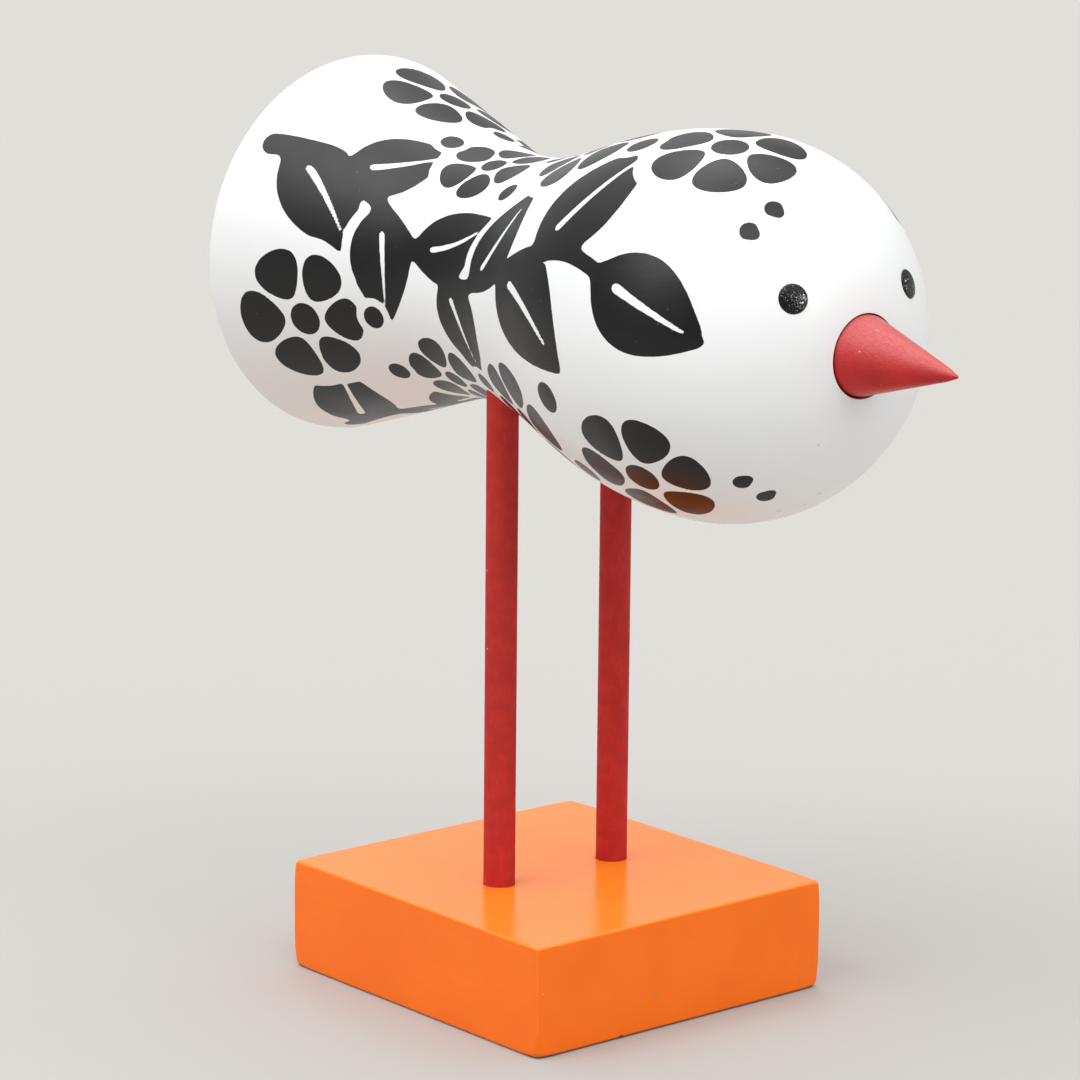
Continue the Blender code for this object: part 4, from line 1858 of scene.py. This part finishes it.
@dataclass
class Eyes:
    """Two domed black plugs, square to the front of the head."""

    diameter: float = 6.9 * MM
    from_axis: float = 23.93 * MM
    from_crest: float = math.radians(51.15)
    proud: float = 0.2 * MM
    dome: float = 0.3 * MM
    depth_in_head: float = 4.0 * MM
    fit_gap: float = 0.3 * MM
    paint_gap: float = 0.08 * MM
    mouth_ease: float = 0.1 * MM
    rim_ease: float = 0.25 * MM
    crinkle: float = 0.05 * MM
    crinkle_size: float = 0.8 * MM
    crinkle_swing: float = 2.0
    crinkle_sink: float = 1.2
    smooth_rim: float = 4.0
    crinkled_below: float = 0.05 * MM
    crinkle_start: float = 3.0
    sides: int = 200
    dome_points: int = 38
    rim_points: int = 6
    rim_from: float = math.radians(75.0)
    crease: float = math.radians(35.0)
    glint_strength: float = 0.85
    glint_ragged: float = 1.8
    # Each painted glint: how far ahead and above the eye's middle it is and its radius, in millimetres, and
    # its brightness.
    glint_places: tuple[tuple[float, float, float, float], ...] = (
        (0.4, 1.4, 0.14, 0.30),
        (0.7, 0.2, 0.17, 0.42),
        (1.3, 1.1, 0.13, 0.30),
        (1.7, 0.8, 0.12, 0.28),
        (2.5, 0.9, 0.20, 0.72),
        (2.4, 0.1, 0.32, 0.30),
        (2.8, -0.6, 0.14, 0.55),
        (2.1, -1.0, 0.32, 0.90),
        (1.5, -1.0, 0.19, 0.60),
        (0.9, -1.2, 0.14, 0.62),
        (1.6, -1.6, 0.14, 0.25),
        (2.2, -2.2, 0.15, 0.30),
        (0.7, -2.8, 0.16, 0.24),
        (-2.5, 1.4, 0.17, 0.24),
        (-2.9, 0.8, 0.16, 0.30),
        (-2.5, 0.4, 0.14, 0.20),
        (-2.0, 0.3, 0.18, 0.42),
        (-1.6, -0.4, 0.15, 0.30),
        (0.9, 2.4, 0.12, 0.16),
        (1.6, 2.3, 0.12, 0.16),
        (2.1, 1.9, 0.15, 0.20),
        (0.6, -0.4, 0.13, 0.30),
        (1.6, 0.1, 0.14, 0.26),
        (1.9, 0.4, 0.13, 0.34),
    )

    def seat(self, body: Body, own: Matrix, side: Side) -> Matrix:
        """An eye's own frame: Z out of the head, the origin in the skin.

        Args:
            body: Body that holds it.
            own: The body's own frame.
            side: Which eye.

        Returns:
            The frame.
        """
        outline = body.outline
        station = outline.head_station_at(self.from_axis)
        across = self.from_axis * side.value * math.sin(self.from_crest)
        above = self.from_axis * math.cos(self.from_crest)
        forward = (station - outline.head_station) / outline.nose_reach**2
        outward = Vector((forward, across / outline.head_radius**2, above / outline.head_radius**2))
        turn = outward.to_track_quat("Z", "Y").to_matrix().to_4x4()
        return own @ Matrix.Translation((station, across, above)) @ turn

    def painted_glints(self, body: Body, own: Matrix) -> tuple[Spot, ...]:
        """Painted glints: pale specks where the crinkled enamel catches the light, most of them towards the
        beak.

        Args:
            body: Body that holds the eyes.
            own: The body's own frame.

        Returns:
            The painted glints of both eyes, turned half round on the left one.
        """
        spots = []
        for side in Side:
            seat = self.seat(body, own, side)
            for ahead, above, radius, tone in self.glint_places:
                reach = math.hypot(ahead, above) * MM / (self.diameter / 2)
                out = self.proud + self.dome * (1.0 - reach**2)
                place = seat @ Vector((-side.value * ahead * MM, -side.value * above * MM, out))
                grey = (tone, tone, tone)
                point = (place / MM).to_tuple()
                spots.append(Spot(point, radius, grey, self.glint_strength, self.glint_ragged))
        return tuple(spots)

    def drill(self, shop: Workshop, body: Body, own: Matrix, side: Side) -> bpy.types.Object:
        """Cutter for an eye's socket.

        Args:
            shop: Lathe and finishes.
            body: Body that holds it.
            own: The body's own frame.
            side: Which eye.

        Returns:
            The closed cutter.
        """
        radius = self.diameter / 2 + self.paint_gap
        dip = radius**2 / (2 * body.outline.head_radius)
        outline = pocket_outline(radius, self.depth_in_head, dip, self.mouth_ease)
        name, seat = f"eye_socket_{side.word}", self.seat(body, own, side)
        return shop.lathe.turn(name, outline, self.sides, shop.finishes["wood"], seat)

    def _wrinkle(self, mesh: bpy.types.Mesh, seat: Matrix, phase: float) -> None:
        """Crinkle the enamel of the dome.

        Args:
            mesh: The eye, in the part's frame.
            seat: The eye's own frame.
            phase: Where in the noise it starts.
        """
        inverse = seat.inverted()
        out = seat.to_3x3() @ Vector((0.0, 0.0, 1.0))
        for vertex in mesh.vertices:
            local = inverse @ vertex.co
            if local.z > self.proud - self.crinkled_below:
                inward = 1.0 - math.hypot(local.x, local.y) / (self.diameter / 2)
                fade = min(1.0, self.smooth_rim * inward)
                lump = noise.noise(local / self.crinkle_size + Vector((phase, 0.0, 0.0)))
                rise = abs(lump) * self.crinkle_swing - self.crinkle_sink
                vertex.co += out * (self.crinkle * fade * rise)

    def build(self, shop: Workshop, body: Body, own: Matrix) -> list[bpy.types.Object]:
        """Turn both eyes.

        Args:
            shop: Lathe and finishes.
            body: Body that holds them.
            own: The body's own frame.

        Returns:
            The finished eyes.
        """
        radius, ease = self.diameter / 2, self.rim_ease
        share = np.linspace(0.0, 1.0, self.dome_points)
        dome = np.stack([(radius - ease) * share, self.proud + self.dome * (1.0 - share**2)], axis=1)
        turn = np.linspace(self.rim_from, 0.0, self.rim_points)[1:]
        rim = np.stack([radius - ease + ease * np.cos(turn), self.proud - ease + ease * np.sin(turn)], axis=1)
        back = self.fit_gap - self.depth_in_head
        outline = np.concatenate([dome, rim, [(radius, back), (0.0, back)]])
        eyes = []
        for side in Side:
            seat = self.seat(body, own, side)
            name = f"enamel_eye_{side.word}"
            eye = shop.lathe.turn(name, outline, self.sides, shop.finishes["eyes"], seat)
            self._wrinkle(eye.data, seat, self.crinkle_start * side.value)
            eye.data.set_sharp_from_angle(angle=self.crease)
            shop.hand_over(eye, f"eye_{side.word}", Slot.EYES)
            eyes.append(eye)
        return eyes


@dataclass(frozen=True)
class Glow:
    """A soft patch of light in the studio's dome, with its angles in degrees."""

    azimuth: float
    elevation: float
    strength: float
    tightness: float

    def direction(self) -> Triple:
        """Unit vector towards the patch, with azimuths counted as the camera's are."""
        around, above = math.radians(self.azimuth), math.radians(self.elevation)
        return (math.sin(around) * math.cos(above), -math.cos(around) * math.cos(above), math.sin(above))


@dataclass
class Studio:
    """Pale floor and a dome of soft light."""

    floor_radius: float = 8.0
    ambient: float = 0.39
    backdrop: Colour = (0.716, 0.694, 0.658)
    glows: tuple[Glow, ...] = (
        Glow(320.0, 74.0, 1.25, 30.0),
        Glow(230.0, 74.0, 1.75, 30.0),
        Glow(300.0, 56.0, 1.25, 16.0),
        Glow(345.0, 56.0, 3.0, 24.0),
        Glow(15.0, 56.0, 1.5, 24.0),
        Glow(45.0, 56.0, 1.25, 24.0),
        Glow(80.0, 56.0, 2.75, 24.0),
        Glow(120.0, 56.0, 2.0, 24.0),
        Glow(180.0, 56.0, 1.5, 24.0),
        Glow(240.0, 56.0, 2.0, 24.0),
        Glow(350.0, 36.0, 1.5, 20.0),
        Glow(245.0, 14.0, 0.5, 8.0),
        Glow(97.0, 20.0, 15.0, 240.0),
    )

    def build(self, effects: EffectLibrary) -> None:
        """Lay the floor and light the dome.

        Args:
            effects: Shared effects.
        """
        self._floor(effects)
        self._dome()
        view = bpy.context.scene.view_settings
        view.view_transform = "Standard"
        view.look = "None"
        LOG.info("studio: floor of %.0f m radius, %d glows", self.floor_radius, len(self.glows))

    def _floor(self, effects: EffectLibrary) -> None:
        """Lay a round floor under the block."""
        shape = bmesh.new()
        bmesh.ops.create_circle(shape, cap_ends=True, segments=96, radius=self.floor_radius)
        mesh = bpy.data.meshes.new("studio_floor")
        shape.to_mesh(mesh)
        shape.free()
        floor = place_piece("studio_floor", mesh)
        mesh.materials.append(StudioSweep().make(effects))

    def _dome(self) -> None:
        """Light the world with soft patches over an even base."""
        world = bpy.data.worlds.new("soft_dome")
        bpy.context.scene.world = world
        world.use_nodes = True
        sheet = NodeSheet(world.node_tree)
        world.node_tree.nodes.clear()
        toward = sheet.node("ShaderNodeTexCoord").outputs["Generated"]
        total: Feed = self.ambient
        for glow in self.glows:
            facing = sheet.vector("DOT_PRODUCT", toward, glow.direction(), out="Value")
            lobe = sheet.math("POWER", sheet.math("MAXIMUM", facing, 0.0), glow.tightness)
            total = sheet.math("MULTIPLY_ADD", lobe, glow.strength, total)
        path = sheet.node("ShaderNodeLightPath").outputs["Is Camera Ray"]
        shown = sheet.blend(path, total, rgba(self.backdrop))
        light = sheet.node("ShaderNodeBackground")
        sheet.feed(light.inputs["Color"], shown)
        out = sheet.node("ShaderNodeOutputWorld")
        sheet.feed(out.inputs["Surface"], light.outputs[0])


@dataclass(frozen=True)
class PhotoCamera:
    """Camera that stands as the photograph's did."""

    azimuth: float = math.radians(49.866)
    elevation: float = math.radians(12.276)
    roll: float = math.radians(0.539)
    distance: float = 1.16954
    aside: float = 0.00382
    below: float = 0.11332
    lens: float = 149.73
    sensor: float = 36.0
    nearest: float = 0.05
    farthest: float = 40.0

    def build(self) -> bpy.types.Object:
        """Set up the camera.

        Returns:
            The camera's object.
        """
        level = math.cos(self.elevation)
        right = Vector((math.cos(self.azimuth), math.sin(self.azimuth), 0.0))
        back = Vector((level * right.y, -level * right.x, math.sin(self.elevation)))
        upward = back.cross(right)
        cosine, sine = math.cos(self.roll), math.sin(self.roll)
        axes = (cosine * right + sine * upward, cosine * upward - sine * right, back)
        eye = -self.aside * axes[0] + self.below * axes[1] + self.distance * axes[2]
        data = bpy.data.cameras.new("photo_camera")
        data.sensor_width = self.sensor
        data.lens = self.lens
        data.clip_start = self.nearest
        data.clip_end = self.farthest
        camera = bpy.data.objects.new("photo_camera", data)
        bpy.context.scene.collection.objects.link(camera)
        camera.matrix_world = Matrix.Translation(eye) @ Matrix(axes).transposed().to_4x4()
        bpy.context.scene.camera = camera
        LOG.info("camera: %.0f mm lens, %.2f m away", self.lens, self.distance)
        return camera


def leg_paint() -> SatinPaint:
    """Thin red paint of the legs, with the wood's cloudy grain in it."""
    return SatinPaint(
        name="leg_paint",
        colour=(0.52, 0.0335, 0.027),
        deep=(0.44, 0.028, 0.024),
        worn=(0.66, 0.12, 0.10),
        stretch=(1.0, 1.0, 0.25),
        low=0.56,
        high=0.66,
        shine=0.14,
        grain_scale=1300.0,
        grain_share=0.75,
        grain_depth=0.07 * MM,
        cloud_scale=260.0,
        marks=(Spot((-0.5, -23.0, 90.8), 0.25, CHIPPED), Spot((-1.0, -22.9, 111.0), 0.22, CHIPPED)),
    )


def beak_paint() -> SatinPaint:
    """Red paint of the beak, with a painted highlight that makes the faces that look up paler."""
    return SatinPaint(
        name="beak_paint",
        colour=(0.54, 0.016, 0.018),
        deep=(0.45, 0.012, 0.014),
        worn=(0.72, 0.24, 0.23),
        stretch=(0.35, 0.8, 1.0),
        low=0.33,
        high=0.39,
        shine=0.30,
        # Painted highlight on the faces that look up.
        painted_highlight=(0.50, 0.092, 0.090),
        highlight_low=0.55,
        highlight_high=1.15,
        grain_scale=2300.0,
        grain_share=0.6,
        grain_depth=0.10 * MM,
        cloud_scale=120.0,
        marks=(Spot((116.2, -2.6, 186.1), 0.28, CHIPPED), Spot((115.5, -7.5, 181.6), 0.25, CHIPPED)),
    )


def block_paint() -> SatinPaint:
    """Orange paint of the block, with a painted highlight on its top, a painted shadow along its foot, a nick
    at its foot painted dark as shade, and small chips.
    """
    return SatinPaint(
        name="block_paint",
        colour=(1.0, 0.180, 0.0040),
        deep=(0.97, 0.165, 0.0040),
        # Tone of dust and rubbed arrises, also a painted highlight along the edges.
        worn=(1.0, 0.32, 0.06),
        stretch=(0.05, 1.0, 1.0),
        low=0.18,
        high=0.24,
        shine=0.28,
        # Painted highlight on the top.
        painted_highlight=(1.0, 0.240, 0.021),
        # Painted shadow along the foot.
        foot_shadow=(0.10, 0.028, 0.016),
        marks=(
            Spot((49.6, -9.0, 9.5), 0.60, GRIT, 0.9, 2.4),
            Spot((49.5, -45.7, 16.7), 0.27, CHIPPED, 0.6),
            Spot((49.1, -46.7, 3.2), 0.25, CHIPPED, 0.4),
            # Near-black band at the foot: a nick painted with its shade.
            Scratch((49.0, -20.8, 0.1), (0.0, 1.0, 0.0), (0.0, 0.0, 1.0), 6.0, 1.9, NICK_SHADE, 0.95),
            Spot((49.1, -42.3, 28.4), 0.30, CHIPPED, 0.5),
            Spot((46.2, -36.9, 28.5), 0.22, CHIPPED, 0.5),
            Spot((43.5, -40.1, 28.5), 1.5, (1.0, 0.42, 0.20), 0.35, 3.2),
            Scratch((49.5, -40.5, 26.0), (0.0, 0.8, 0.6), (0.0, -0.6, 0.8), 4.0, 0.22, SCORED, 0.6),
            Scratch((-25.3, -47.6, 21.8), (0.6, 0.0, 0.8), (0.8, 0.0, -0.6), 1.6, 0.25, CHIPPED, 0.6),
        ),
    )


def body_lacquer() -> PrintedLacquer:
    """Lacquer of the body, with rubs on the print and scuffs on the white."""
    return PrintedLacquer(
        on_ink=(
            Scratch((40.2, -41.9, 163.6), (0.87, -0.04, -0.48), (0.48, -0.20, 0.85), 6.0, 0.50, BARED, 0.7),
            Scratch((51.0, -43.0, 161.4), (0.97, -0.06, -0.24), (0.20, -0.30, 0.93), 4.4, 0.60, BARED),
            Scratch((55.3, -42.9, 160.1), (0.96, -0.02, -0.27), (0.27, -0.35, 0.90), 4.2, 0.60, BARED),
            Scratch((86.0, -41.0, 171.1), (0.15, 0.22, -0.96), (0.85, 0.48, 0.22), 3.0, 0.55, BARED),
            Scratch((86.8, -41.3, 175.9), (0.12, 0.10, -0.99), (0.86, 0.50, 0.12), 2.6, 0.40, BARED, 0.6),
            Scratch((89.7, -38.6, 170.9), (0.15, 0.22, -0.96), (0.80, 0.55, 0.22), 1.8, 0.30, GRIT, 0.6),
        ),
        on_white=(
            Scratch((104.6, 13.5, 198.4), (-0.30, 0.95, -0.05), (-0.42, -0.10, 0.90), 5.0, 0.16, FAINT, 0.5),
            Spot((87.7, -6.0, 139.1), 0.9, (0.52, 0.51, 0.50), 0.35, 2.4),
            Spot((89.9, 0.3, 140.0), 0.9, SCUFF, 0.45, 2.4),
            Spot((94.4, 0.9, 143.5), 0.8, SCUFF, 0.45, 2.4),
            Spot((104.5, -9.4, 158.0), 0.30, STAIN, 0.6),
            Spot((61.6, -35.6, 148.2), 0.28, STAIN, 0.5),
        ),
    )


def make_finishes(effects: EffectLibrary, painted_glints: tuple[Spot, ...]) -> dict[str, bpy.types.Material]:
    """Build the finishes of the bird.

    Args:
        effects: Shared effects.
        painted_glints: Pale specks painted on the eyes' enamel where light glints.

    Returns:
        Materials by the name of what they cover.
    """
    return {
        "body": body_lacquer().make(effects),
        "legs": leg_paint().make(effects),
        "beak": beak_paint().make(effects),
        "block": block_paint().make(effects),
        "eyes": EyeGloss(painted_glints=painted_glints).make(effects),
        "wood": BareWood().make(effects),
    }


def main() -> None:
    """Build the bird, its studio and its camera in order."""
    logging.basicConfig(level=logging.INFO, format="%(name)s: %(message)s", stream=sys.stdout)
    effects = EffectLibrary()
    block, legs, body, beak, eyes = Block(), Legs(), Body(), Beak(), Eyes()
    own = body.frame(block, legs)
    shop = Workshop(Lathe(), make_finishes(effects, eyes.painted_glints(body, own)))
    block.build(shop, legs)
    legs.build(shop, block.height)
    body.build(shop, block, legs, beak, eyes)
    beak.build(shop, body, own)
    eyes.build(shop, body, own)
    Studio().build(effects)
    PhotoCamera().build()
    bpy.context.view_layer.update()


if __name__ == "__main__":
    main()
